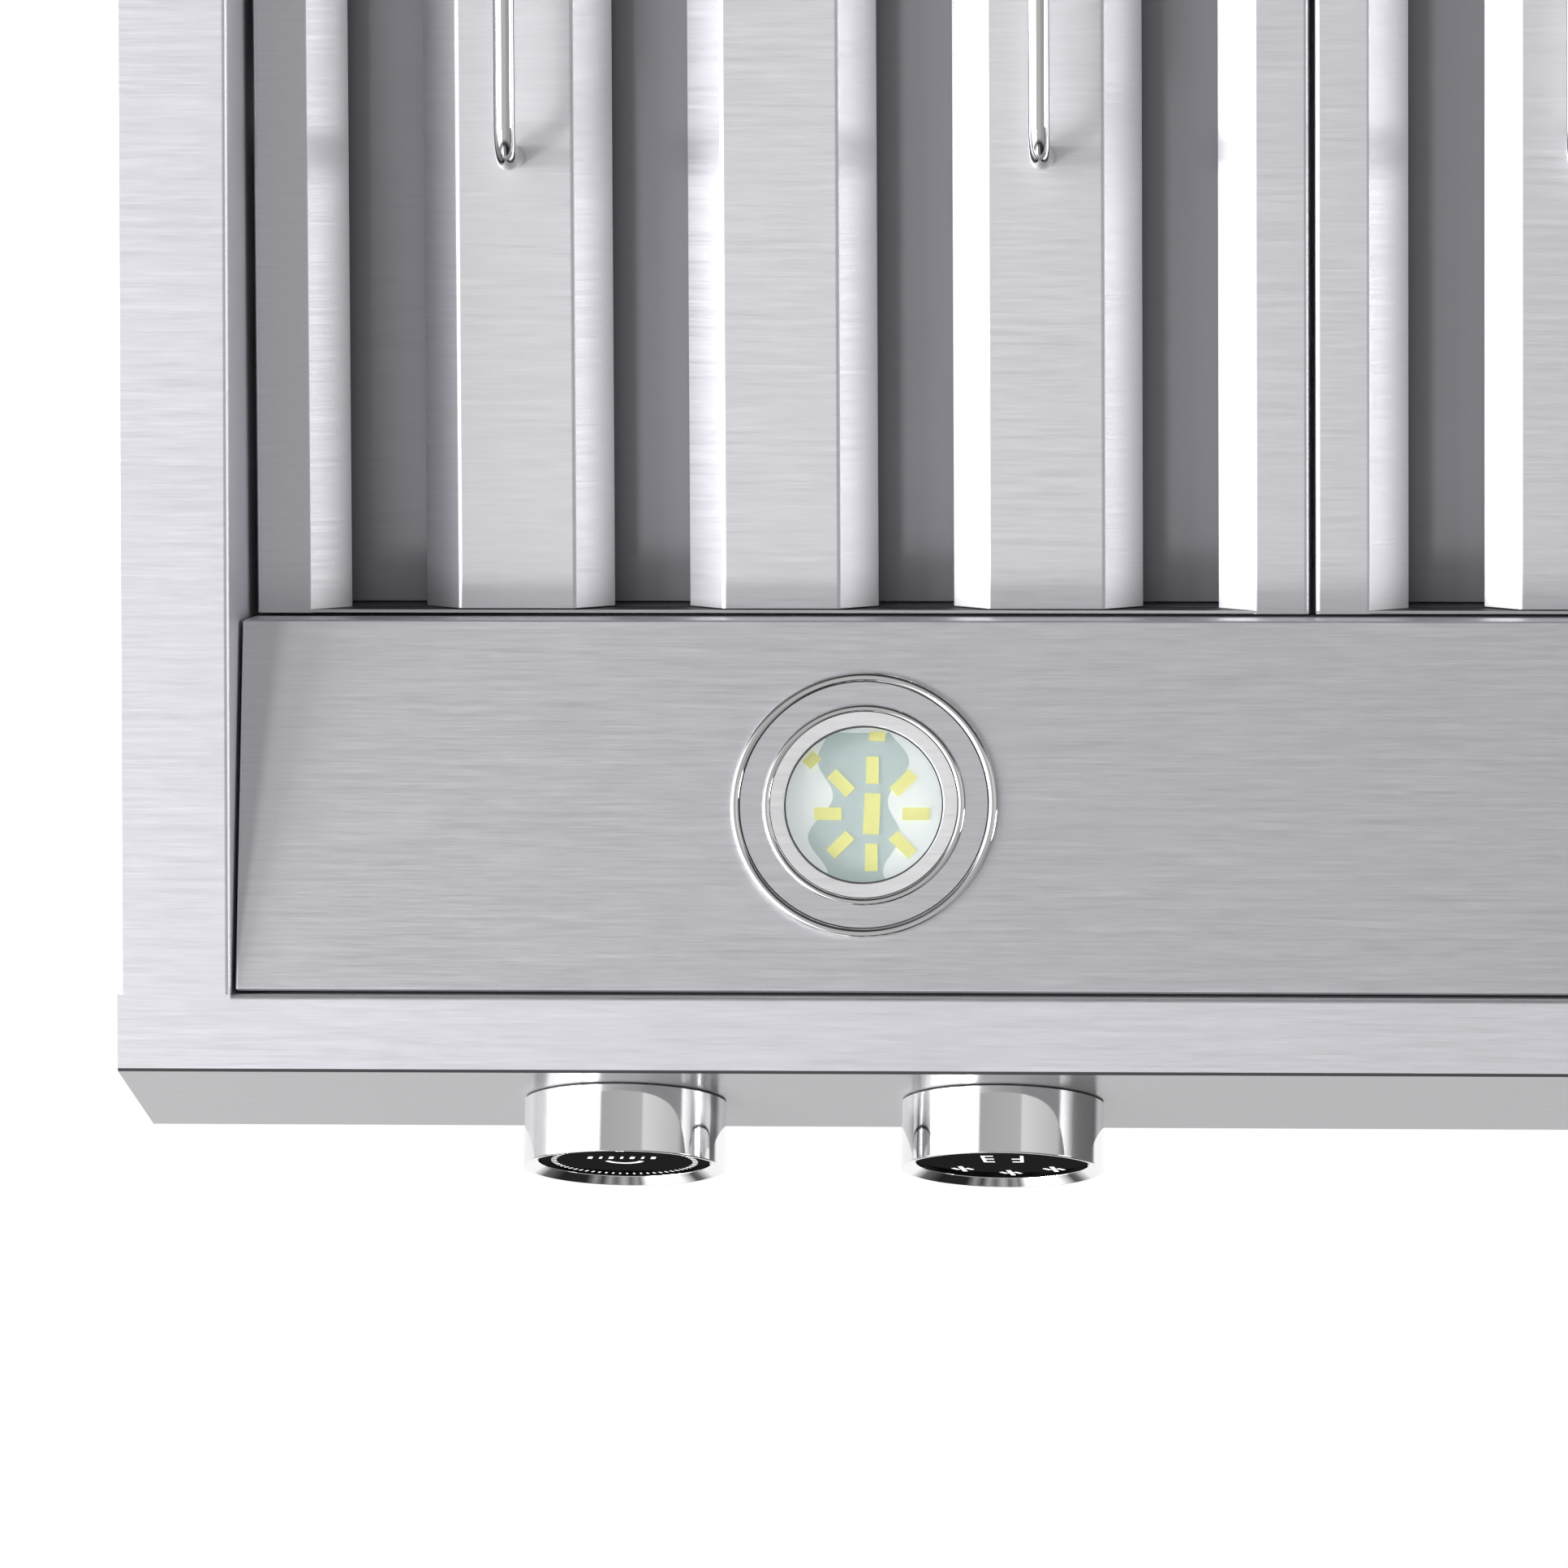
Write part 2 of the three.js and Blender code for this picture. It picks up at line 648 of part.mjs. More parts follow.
// A scroll housing's side outline about the wheel's axis, set in by the sheet for its inside.
function scrollOutline(inset, top) {
  const steps = 26;
  const chute = SCROLL_END_RADIUS - COLLAR_Y + inset;
  const from = Math.acos(chute / (SCROLL_START_RADIUS - inset));
  const points = [];
  for (let i = 0; i <= steps; i += 1) {
    const angle = from + ((2 * Math.PI - from) * i) / steps;
    const growth = ((SCROLL_END_RADIUS - SCROLL_START_RADIUS) * i) / steps;
    const radius = SCROLL_START_RADIUS + growth - inset;
    points.push(new THREE.Vector2(radius * Math.cos(angle), radius * Math.sin(angle)));
  }
  points.push(new THREE.Vector2(SCROLL_END_RADIUS - inset, top));
  points.push(new THREE.Vector2(chute, top));
  return points;
}

function spanX(side, a, b) {
  return [side * a, side * b].sort((p, q) => p - q);
}

function scroll(side) {
  const wall = 1;
  const top = -COLLAR_DROP - GAP - BLOWER_Z;
  const outer = alongX(scrollOutline(0, top), ...spanX(side, SCROLL_INNER_X, SCROLL_OUTER_X));
  const hollowX = spanX(side, SCROLL_INNER_X + wall, SCROLL_OUTER_X - wall);
  const hollow = alongX(scrollOutline(wall, top + 5), ...hollowX);
  const [eye0, eye1] = spanX(side, SCROLL_OUTER_X - 10, SCROLL_OUTER_X + 10);
  const eye = rod(50, eye0, eye1).rotateY(Math.PI / 2);
  const [pass0, pass1] = spanX(side, SCROLL_INNER_X - 5, SCROLL_INNER_X + 5);
  const shaftPass = rod(14, pass0, pass1, 24).rotateY(Math.PI / 2);
  return cut(outer, hollow, eye, shaftPass);
}

// A squirrel-cage wheel: back disc and hub towards the motor, blades, and a ring round the inlet.
function wheel(side) {
  const segments = 2 * BLADES;
  const disc = ring(SHAFT_RADIUS + GAP, WHEEL_RADIUS, WHEEL_START_X, WHEEL_START_X + 1.5, segments);
  const hub = ring(SHAFT_RADIUS + GAP, 12, WHEEL_START_X, WHEEL_START_X + 14, segments);
  const rim = ring(WHEEL_INNER_RADIUS, WHEEL_RADIUS, WHEEL_END_X - 2, WHEEL_END_X, segments);
  const blades = [];
  for (let i = 0; i < BLADES; i += 1) {
    const blade = box([-4.6, 4.6], [-0.6, 0.6], [WHEEL_START_X + 1, WHEEL_END_X - 1]);
    blade.rotateZ(THREE.MathUtils.degToRad(28));
    blade.translate((WHEEL_RADIUS + WHEEL_INNER_RADIUS) / 2, 0, 0);
    blades.push(blade.rotateZ((2 * Math.PI * i) / BLADES));
  }
  return join(disc, hub, rim, ...blades).rotateY((side * Math.PI) / 2);
}

function addBlower() {
  const place = group(0, BLOWER_Y, BLOWER_Z);
  for (const [name, side] of [["left", -1], ["right", 1]]) {
    add(place, `${name}_scroll_housing`, scroll(side), GALVANISED);
    add(place, `${name}_blower_wheel`, wheel(side), GALVANISED);
  }
  const motor = revolve([
    [SHAFT_RADIUS + 0.6, -MOTOR_HALF],
    [16, -MOTOR_HALF],
    [16, -MOTOR_HALF + 6],
    [MOTOR_RADIUS - 6, -MOTOR_HALF + 6],
    [MOTOR_RADIUS, -MOTOR_HALF + 12],
    [MOTOR_RADIUS, MOTOR_HALF - 12],
    [MOTOR_RADIUS - 6, MOTOR_HALF - 6],
    [16, MOTOR_HALF - 6],
    [16, MOTOR_HALF],
    [SHAFT_RADIUS + 0.6, MOTOR_HALF],
    [SHAFT_RADIUS + 0.6, -MOTOR_HALF],
  ], 32);
  add(place, "blower_motor", motor.rotateY(Math.PI / 2), MOTOR_PAINT);
  const shaftEnd = WHEEL_START_X + 13;
  add(place, "motor_shaft", rod(SHAFT_RADIUS, -shaftEnd, shaftEnd, 16).rotateY(Math.PI / 2), CHROME);
  const bandInner = MOTOR_RADIUS + GAP;
  const band = ring(bandInner, bandInner + 2, -15, 15, 32).rotateY(Math.PI / 2);
  const head = -(SHEET + 2 * GAP) - BLOWER_Z;
  const hanger = box([-15, 15], [-26, -24], [36.5, head]);
  const foot = box([-25, 25], [-60, -24], [head - 2, head]);
  add(place, "motor_bracket", join(band, hanger, foot), GALVANISED);
}

// Collar through the top panel from below, with its flange, and the web between the two outlets.
function ductCollar() {
  const wall = 1;
  const x = COLLAR_X / 2;
  const y = COLLAR_Y / 2;
  const yc = COLLAR_CENTRE_Y;
  const tube = box([-x, x], [yc - y, yc + y], [-COLLAR_DROP, COLLAR_RISE]);
  const flangeTop = -(SHEET + GAP);
  const flange = box(
    [-x - COLLAR_FLANGE, x + COLLAR_FLANGE],
    [yc - y - COLLAR_FLANGE, yc + y + COLLAR_FLANGE],
    [flangeTop - SHEET, flangeTop],
  );
  const bore = box(
    [-x + wall, x - wall],
    [yc - y + wall, yc + y - wall],
    [-COLLAR_DROP - 1, COLLAR_RISE + 1],
  );
  const web = box(
    [-SCROLL_INNER_X, SCROLL_INNER_X],
    [yc - y + wall / 2, yc + y - wall / 2],
    [-COLLAR_DROP, -COLLAR_DROP + wall],
  );
  const pivots = rod(FLAP_ROD_RADIUS + GAP, -x - 2, x + 2, 16).rotateY(Math.PI / 2);
  const body = cut(join(tube, flange), bore);
  return cut(join(body, web), pivots.translate(0, FLAP_HINGE_Y, FLAP_Z));
}

function addDamper() {
  const place = group(0, FLAP_HINGE_Y, FLAP_Z);
  const half = COLLAR_X / 2 - 3.5;
  const front = COLLAR_CENTRE_Y - COLLAR_Y / 2 + 3 - FLAP_HINGE_Y;
  const plate = box([-half, half], [front, 0], [-0.5, 0.5]);
  const sleeve = rod(FLAP_ROD_RADIUS + 1.4, -half, half, 16).rotateY(Math.PI / 2);
  const bore = rod(FLAP_ROD_RADIUS + GAP, -half - 1, half + 1, 16).rotateY(Math.PI / 2);
  add(place, "damper_flap", cut(join(plate, sleeve), bore), GALVANISED);
  const rodEnd = COLLAR_X / 2 - 0.2;
  add(place, "damper_rod", rod(FLAP_ROD_RADIUS, -rodEnd, rodEnd, 16).rotateY(Math.PI / 2), CHROME);
}

add(hood, "left_side_panel", sidePanel(-1), STEEL);
add(hood, "right_side_panel", sidePanel(1), STEEL);
add(hood, "front_fascia", frontFascia(), STEEL);
add(hood, "upper_front_panel", upperFrontPanel(), STEEL);
add(hood, "top_panel", topPanel(), STEEL);
add(hood, "rear_panel", rearPanel(), STEEL);
add(hood, "rear_ledge", rearLedge(), STEEL);
add(hood, "light_panel", lightPanel(), STEEL);
addLight("left", -LIGHT_X);
addLight("right", LIGHT_X);
addFilter("left", -FILTER_PITCH);
addFilter("centre", 0);
addFilter("right", FILTER_PITCH);
for (const [name, x] of Object.entries(KNOBS)) addKnob(name, x);
addElectrics();
addBlower();
add(hood, "duct_collar", ductCollar(), GALVANISED);
addDamper();

export default hood;
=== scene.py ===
"""Looks of the under cabinet range hood: smooth folded sheets, baffles, knobs and lights on the CAD frame.

Metres, in the CAD's frame: +X right when facing the front, +Y to the wall, +Z up.
"""
import math
import random

import bmesh
import bpy
from mathutils import Matrix, Vector


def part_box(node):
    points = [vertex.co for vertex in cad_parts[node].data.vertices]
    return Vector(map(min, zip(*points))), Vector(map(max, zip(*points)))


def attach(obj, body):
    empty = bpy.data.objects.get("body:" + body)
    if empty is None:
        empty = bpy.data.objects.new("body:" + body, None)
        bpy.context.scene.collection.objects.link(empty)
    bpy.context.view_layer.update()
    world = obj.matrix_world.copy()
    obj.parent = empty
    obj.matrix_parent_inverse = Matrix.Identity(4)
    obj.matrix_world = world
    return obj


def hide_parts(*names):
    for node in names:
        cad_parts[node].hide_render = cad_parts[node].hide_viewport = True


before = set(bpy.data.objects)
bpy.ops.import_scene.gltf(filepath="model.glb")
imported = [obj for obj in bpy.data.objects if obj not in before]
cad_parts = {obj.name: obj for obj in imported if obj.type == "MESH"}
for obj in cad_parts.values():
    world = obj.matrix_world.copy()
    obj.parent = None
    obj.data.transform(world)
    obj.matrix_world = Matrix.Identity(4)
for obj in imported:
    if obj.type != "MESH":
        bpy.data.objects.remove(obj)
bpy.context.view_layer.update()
MM = 0.001
rng = random.Random(7)

# Places and sizes taken from the CAD nodes
WALL_LO, WALL_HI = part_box("right_side_panel")
FASCIA_LO, FASCIA_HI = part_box("front_fascia")
PANEL_LO, PANEL_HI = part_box("light_panel")
LEDGE_LO, LEDGE_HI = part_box("rear_ledge")
UPPER_LO, UPPER_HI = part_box("upper_front_panel")
TOP_LO, TOP_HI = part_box("top_panel")
COLLAR_LO, COLLAR_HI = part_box("duct_collar")
RIM = WALL_LO.z
HALF = WALL_HI.x
RECESS_HALF = WALL_LO.x

# Sheet metal
SHEET = 1.2 * MM
FOLD = 1.5 * MM
WIDE_FOLD = 1.6 * MM
DEBURR = 0.25 * MM
CLEAR = 0.3 * MM
LEAN_RUN = 20.4 * MM
TOP_FLANGE = 10 * MM
FRONT_RETURN = 15 * MM
SIDE_LAP = 12 * MM
WALL_FOOT = 10 * MM
UPPER_TOP_LAP = 14 * MM
UPPER_FOOT_LAP = 16 * MM
LEDGE_LAP = 20 * MM
INNER_WALL = 70 * MM
FASCIA_FOOT = FASCIA_LO.y + LEAN_RUN
LEAN = math.atan2(LEAN_RUN, FASCIA_HI.z - RIM)
PANEL_RISE = 20 * MM
PANEL_FRONT_LIP = 12 * MM
PANEL_REAR_SHELF = 35 * MM
PANEL_EDGE = 0.7 * MM
PANEL_END_HEIGHT = 9 * MM
TILT = math.atan2(PANEL_RISE, PANEL_HI.y - PANEL_LO.y)

# Filters
FILTER_HINGE = Vector((0, -32 * MM, RIM + 28 * MM))
FILTER_SLOPE = math.radians(2.5)
FILTER_X = {"left": -281.7 * MM, "centre": 0.0, "right": 281.7 * MM}
FILTER_HALF = 140 * MM
FILTER_LENGTH = 388.2 * MM
FILTER_HEIGHT = 22 * MM
FILTER_SHEET = 0.8 * MM
FRONT_WALL_HEIGHT = 12 * MM
FRONT_WALL_STEP = 0.4 * MM
BAFFLE_PITCH = 70.4 * MM
BAFFLE_FLAT = 30.8 * MM
BAFFLE_RISE = 9.8 * MM
EDGE_FLAT = 14.1 * MM
RAIL_FOLD = 1.3 * MM
RAIL_LAP = 12 * MM
BAFFLE_FOLD = 1.9 * MM
BAFFLE_GAP = 1.2 * MM
UPPER_FLAT = 38 * MM
UPPER_LEVEL = 20 * MM
UPPER_DROP = 2.5 * MM
UPPER_FOLD = 1.0 * MM
FILTER_DEBURR = 0.15 * MM
WALL_INSET = 0.1 * MM
TONGUE_X = 95 * MM
TONGUE_HALF = 15 * MM
TONGUE_REACH = 16 * MM
HANDLE_RADIUS = 2.8 * MM
HANDLE_DROP = 27 * MM
HANDLE_FRONT = -267 * MM
HANDLE_REAR = -117 * MM
HANDLE_BEND = 10 * MM

# Knobs and lights, whose own shapes are in millimetres
STEM_HOLE = 8
LIGHT_HOLE = 31.5
LENS_RADIUS = 20.6
MARK_LEVEL = 16.42
MARK_HEIGHT = 0.06
KNOB_X = {"outer_knob": 323 * MM, "inner_knob": 222.5 * MM}
LIGHT_X = {"left": -257.5 * MM, "right": 257.5 * MM}
LIGHT_Y = -469 * MM


# ---------------- mesh helpers

def finish_piece(mesh, name, body, material, nodes=(), smooth_angle=35, edge=0):
    """Makes an object of a mesh, rounds its cut edges, keeps its flats flat, and puts it on the frame."""
    piece = bpy.data.objects.new(name, mesh)
    bpy.context.collection.objects.link(piece)
    mesh.polygons.foreach_set("use_smooth", [True] * len(mesh.polygons))
    mesh.set_sharp_from_angle(angle=math.radians(smooth_angle))
    mesh.materials.clear()
    mesh.materials.append(material)
    if edge:
        soften(piece, edge)
    flats = piece.modifiers.new("flats", "WEIGHTED_NORMAL")
    flats.keep_sharp = True
    flats.weight = 100
    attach(piece, body)
    if nodes:
        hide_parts(*nodes)
    return piece


def recoat(piece, material, chosen):
    """Gives the faces that the test picks another finish."""
    piece.data.materials.append(material)
    index = len(piece.data.materials) - 1
    for face in piece.data.polygons:
        if chosen(face):
            face.material_index = index


def mesh_from(bm, name):
    """A mesh with no doubled points and its faces looking outwards."""
    bmesh.ops.remove_doubles(bm, verts=bm.verts, dist=1e-6)
    bmesh.ops.recalc_face_normals(bm, faces=bm.faces)
    mesh = bpy.data.meshes.new(name)
    bm.to_mesh(mesh)
    bm.free()
    return mesh


def soften(piece, width):
    """A fine bevel on the cut edges, which catches light as a deburred edge does."""
    bevel = piece.modifiers.new("edge", "BEVEL")
    bevel.width = width
    bevel.segments = 2
    bevel.limit_method = "ANGLE"
    bevel.angle_limit = math.radians(50)


def arc(centre, radius, start, end, steps):
    """Points round an arc, in degrees."""
    turns = [math.radians(start + (end - start) * i / steps) for i in range(steps + 1)]
    return [(centre[0] + radius * math.cos(t), centre[1] + radius * math.sin(t)) for t in turns]


def fold_line(points, radius, steps=5):
    """Points and left normals along a line whose corners, all left turns, are rounded to radius."""
    points = [Vector(p) for p in points]
    rows = []
    for i, point in enumerate(points):
        before = (point - points[i - 1]).normalized() if i else None
        after = (points[i + 1] - point).normalized() if i + 1 < len(points) else None
        if before is None or after is None:
            along = after or before
            rows.append((point, Vector((-along.y, along.x))))
            continue
        turn = math.acos(max(-1.0, min(1.0, before.dot(after))))
        start = point - before * radius * math.tan(turn / 2)
        inward = Vector((-before.y, before.x))
        centre = start + inward * radius
        for k in range(steps + 1):
            swing = Matrix.Rotation(turn * k / steps, 2)
            arm = swing @ (start - centre)
            rows.append((centre + arm, -arm.normalized()))
    return rows


def lift(axis, along, u, v):
    """A section's point (u, v) at a place along the axis that the section is drawn out on."""
    return Vector((along, u, v)) if axis == "X" else Vector((u, along, v))


def add_folded_sheet(bm, points, thickness, radius, ends, axis, steps=5):
    """A sheet folded along a line and drawn out between two ends."""
    rows = fold_line(points, radius, steps)
    rings = []
    for along in ends:
        face = [bm.verts.new(lift(axis, along, *p)) for p, n in rows]
        back = [bm.verts.new(lift(axis, along, *(p + n * thickness))) for p, n in rows]
        rings.append((face, back))
    (face0, back0), (face1, back1) = rings
    last = len(rows) - 1
    for i in range(last):
        bm.faces.new((face0[i], face0[i + 1], face1[i + 1], face1[i]))
        bm.faces.new((back0[i], back1[i], back1[i + 1], back0[i + 1]))
        bm.faces.new((face0[i], back0[i], back0[i + 1], face0[i + 1]))
        bm.faces.new((face1[i], face1[i + 1], back1[i + 1], back1[i]))
    bm.faces.new((face0[0], face1[0], back1[0], back0[0]))
    bm.faces.new((face0[last], back0[last], back1[last], face1[last]))


def mirrored(points, side):
    """The same section on the other side, still turning left."""
    return points if side > 0 else [(-u, v) for u, v in points[::-1]]


def add_prism(bm, outline, ends, axis):
    """A flat outline drawn out between two ends."""
    low, high = [[bm.verts.new(lift(axis, along, *p)) for p in outline] for along in ends]
    bm.faces.new(low)
    bm.faces.new(high[::-1])
    count = len(outline)
    for i in range(count):
        j = (i + 1) % count
        bm.faces.new((low[i], low[j], high[j], high[i]))


def add_box(bm, lo, hi):
    """An upright block between two opposite corners."""
    outline = [(lo[0], lo[2]), (hi[0], lo[2]), (hi[0], hi[2]), (lo[0], hi[2])]
    add_prism(bm, outline, (lo[1], hi[1]), "Y")


def add_lathe(bm, profile, segments, place):
    """A profile of (radius, height) turned about +Z, closed on the axis or on itself."""
    rings = []
    for radius, height in profile:
        if radius < 1e-7:
            rings.append([bm.verts.new(place @ Vector((0, 0, height)))])
            continue
        turns = [2 * math.pi * i / segments for i in range(segments)]
        points = [Vector((radius * math.cos(t), radius * math.sin(t), height)) for t in turns]
        rings.append([bm.verts.new(place @ p) for p in points])
    for a, b in zip(rings, rings[1:]):
        for i in range(segments):
            j = (i + 1) % segments
            corners = [a[i % len(a)], a[j % len(a)], b[j % len(b)], b[i % len(b)]]
            unique = list(dict.fromkeys(corners))
            if len(unique) > 2:
                bm.faces.new(unique)


def add_tube(bm, path, radius, sides):
    """A round bar along a path that lies in a plane of constant X."""
    rings = []
    for i, point in enumerate(path):
        ahead = path[min(i + 1, len(path) - 1)] - path[max(i - 1, 0)]
        across = Vector((1, 0, 0))
        up = ahead.normalized().cross(across)
        turns = [2 * math.pi * k / sides for k in range(sides)]
        ring = [point + (across * math.cos(t) + up * math.sin(t)) * radius for t in turns]
        rings.append([bm.verts.new(p) for p in ring])
    for a, b in zip(rings, rings[1:]):
        for k in range(sides):
            m = (k + 1) % sides
            bm.faces.new((a[k], a[m], b[m], b[k]))
    bm.faces.new(rings[0])
    bm.faces.new(rings[-1][::-1])


def boolean(mesh, tool, operation):
    """The mesh joined to or cut by a tool mesh, as a new mesh."""
    objects = [bpy.data.objects.new(m.name, m) for m in (mesh, tool)]
    for item in objects:
        bpy.context.collection.objects.link(item)
    modifier = objects[0].modifiers.new("cut", "BOOLEAN")
    modifier.operation = operation
    modifier.solver = "EXACT"
    modifier.object = objects[1]
    graph = bpy.context.evaluated_depsgraph_get()
    made = bpy.data.meshes.new_from_object(objects[0].evaluated_get(graph))
    for item in objects:
        bpy.data.objects.remove(item)
    return made


def lathe_mesh(name, profile, segments, place):
    """A turned mesh, from a profile in millimetres."""
    bm = bmesh.new()
    add_lathe(bm, [(r * MM, z * MM) for r, z in profile], segments, place)
    return mesh_from(bm, name)


def make_turned(profile, segments, place, name, body, material, nodes=()):
    """A turned piece, from a profile in millimetres."""
    mesh = lathe_mesh(name, profile, segments, place)
    finish_piece(mesh, name, body, material, nodes, smooth_angle=30)


# ---------------- materials

MIX_KINDS = ["FLOAT", "VECTOR", "RGBA"]


def new_material(name):
    """A material, with its node tree and its shader's inputs."""
    material = bpy.data.materials.new(name)
    material.use_nodes = True
    tree = material.node_tree
    return material, tree, tree.nodes["Principled BSDF"].inputs


def node(tree, kind, **values):
    """A new node with some of its properties set."""
    made = tree.nodes.new(kind)
    for key, value in values.items():
        setattr(made, key, value)
    return made


def feed(tree, value, socket):
    """Links another node's output to a socket, or sets the socket to a plain value."""
    if isinstance(value, bpy.types.NodeSocket):
        tree.links.new(value, socket)
    else:
        socket.default_value = value


def math_node(tree, operation, *values):
    """A sum on one or two values."""
    made = node(tree, "ShaderNodeMath", operation=operation)
    for socket, value in zip(made.inputs, values):
        feed(tree, value, socket)
    return made.outputs[0]


def mix(tree, kind, factor, first, second):
    """The first value where the factor is 0, the second where it is 1."""
    made = node(tree, "ShaderNodeMix", data_type=kind)
    feed(tree, factor, made.inputs["Factor"])
    place = MIX_KINDS.index(kind)
    feed(tree, first, made.inputs[2 + 2 * place])
    feed(tree, second, made.inputs[3 + 2 * place])
    return made.outputs[place]


def object_space(tree):
    """A point's place in its own object."""
    return node(tree, "ShaderNodeTexCoord").outputs["Object"]


def grain_space(tree, along, across):
    """Coordinates stretched along the grain: along X, but along Y on faces that look along X."""
    place = node(tree, "ShaderNodeSeparateXYZ")
    feed(tree, object_space(tree), place.inputs[0])
    spaces = []
    for run, rise in (("X", "Y"), ("X", "Z"), ("Y", "Z")):
        space = node(tree, "ShaderNodeCombineXYZ")
        feed(tree, math_node(tree, "MULTIPLY", place.outputs[run], along), space.inputs["X"])
        feed(tree, math_node(tree, "MULTIPLY", place.outputs[rise], across), space.inputs["Y"])
        spaces.append(space.outputs[0])
    below, front, side = spaces
    flat = mix(tree, "VECTOR", facing(tree, "Y", 0.7), below, front)
    return mix(tree, "VECTOR", facing(tree, "X", 0.85), flat, side)


def facing(tree, axis, limit):
    """1 on faces that look along an axis, either way."""
    normal = node(tree, "ShaderNodeSeparateXYZ")
    feed(tree, node(tree, "ShaderNodeNewGeometry").outputs["Normal"], normal.inputs[0])
    turned = math_node(tree, "ABSOLUTE", normal.outputs[axis])
    return math_node(tree, "GREATER_THAN", turned, limit)


def noise(tree, vector, scale=1.0, detail=4.0, roughness=0.6):
    """Fractal noise, mostly between 0.3 and 0.7."""
    made = node(tree, "ShaderNodeTexNoise")
    made.inputs["Scale"].default_value = scale
    made.inputs["Detail"].default_value = detail
    made.inputs["Roughness"].default_value = roughness
    feed(tree, vector, made.inputs["Vector"])
    return made.outputs["Fac"]


def remap(tree, value, low, high, to_low, to_high):
    """The value moved from one range to another, and kept within it."""
    made = node(tree, "ShaderNodeMapRange")
    for socket, number in zip(list(made.inputs)[1:5], (low, high, to_low, to_high)):
        socket.default_value = number
    feed(tree, value, made.inputs[0])
    return made.outputs[0]


def tint(tree, value, dark, light):
    """A colour between a dark and a light one."""
    return mix(tree, "RGBA", value, (*dark, 1), (*light, 1))


def relief(tree, height, inputs, strength, distance):
    """A fine relief on the surface."""
    bump = node(tree, "ShaderNodeBump")
    bump.inputs["Strength"].default_value = strength
    bump.inputs["Distance"].default_value = distance
    feed(tree, height, bump.inputs["Height"])
    feed(tree, bump.outputs[0], inputs["Normal"])


def brushed(name, colour, roughness, spread=0.07, anisotropic=0.75, grain=2600.0):
    """Brushed steel: fine streaks in colour, roughness and relief, and highlights across the grain."""
    material, tree, inputs = new_material(name)
    fine = noise(tree, grain_space(tree, 70.0, grain), detail=5.0, roughness=0.7)
    broad = noise(tree, grain_space(tree, 22.0, grain / 4), detail=3.0)
    streak = math_node(tree, "ADD", math_node(tree, "MULTIPLY", fine, 0.65),
                       math_node(tree, "MULTIPLY", broad, 0.35))
    level = remap(tree, streak, 0.3, 0.7, 0.0, 1.0)
    dark = tuple(c * (1 - spread) for c in colour)
    light = tuple(min(1.0, c * (1 + spread)) for c in colour)
    feed(tree, tint(tree, level, dark, light), inputs["Base Color"])
    inputs["Metallic"].default_value = 1.0
    rough = remap(tree, streak, 0.3, 0.7, roughness * 0.85, roughness * 1.15)
    feed(tree, rough, inputs["Roughness"])
    inputs["Anisotropic"].default_value = anisotropic
    inputs["Anisotropic Rotation"].default_value = 0.25
    sideways = facing(tree, "X", 0.85)
    tangent = mix(tree, "VECTOR", sideways, (1.0, 0.0, 0.0), (0.0, 1.0, 0.0))
    feed(tree, tangent, inputs["Tangent"])
    relief(tree, fine, inputs, 0.08, 0.02 * MM)
    return material


def polished(name, colour, roughness=0.045):
    """Chrome, with the faint haze that polishing leaves."""
    material, tree, inputs = new_material(name)
    place = object_space(tree)
    haze = noise(tree, place, scale=900.0, detail=3.0)
    rough = remap(tree, haze, 0.3, 0.7, roughness * 0.6, roughness * 1.5)
    feed(tree, rough, inputs["Roughness"])
    dark = tuple(c * 0.985 for c in colour)
    feed(tree, tint(tree, haze, dark, colour), inputs["Base Color"])
    inputs["Metallic"].default_value = 1.0
    return material


def galvanised(name):
    """Zinc-coated sheet with its pattern of crystals."""
    material, tree, inputs = new_material(name)
    place = object_space(tree)
    cells = node(tree, "ShaderNodeTexVoronoi")
    cells.inputs["Scale"].default_value = 90.0
    feed(tree, place, cells.inputs["Vector"])
    tone = node(tree, "ShaderNodeSeparateColor")
    feed(tree, cells.outputs["Color"], tone.inputs[0])
    colour = tint(tree, tone.outputs[0], (0.47, 0.49, 0.51), (0.66, 0.68, 0.7))
    feed(tree, colour, inputs["Base Color"])
    feed(tree, remap(tree, tone.outputs[1], 0, 1, 0.32, 0.5), inputs["Roughness"])
    inputs["Metallic"].default_value = 1.0
    return material


def moulded(name, colour, roughness=0.5, grain=1400.0):
    """Moulded plastic or paint with a fine texture."""
    material, tree, inputs = new_material(name)
    place = object_space(tree)
    fine = noise(tree, place, scale=grain, detail=3.0)
    cloud = noise(tree, place, scale=25.0, detail=4.0)
    dark = tuple(c * 0.85 for c in colour)
    light = tuple(min(1.0, c * 1.15) for c in colour)
    feed(tree, tint(tree, cloud, dark, light), inputs["Base Color"])
    rough = remap(tree, fine, 0.3, 0.7, roughness * 0.85, roughness * 1.15)
    feed(tree, rough, inputs["Roughness"])
    relief(tree, fine, inputs, 0.15, 0.05 * MM)
    return material


def black_glass(name):
    """A display's black glass, which hardly reflects."""
    material, tree, inputs = new_material(name)
    place = object_space(tree)
    smear = noise(tree, place, scale=60.0, detail=4.0)
    feed(tree, remap(tree, smear, 0.3, 0.7, 0.02, 0.06), inputs["Roughness"])
    colour = tint(tree, smear, (0.001, 0.001, 0.001), (0.002, 0.002, 0.002))
    feed(tree, colour, inputs["Base Color"])
    inputs["Specular IOR Level"].default_value = 0.02
    inputs["IOR"].default_value = 1.05
    return material


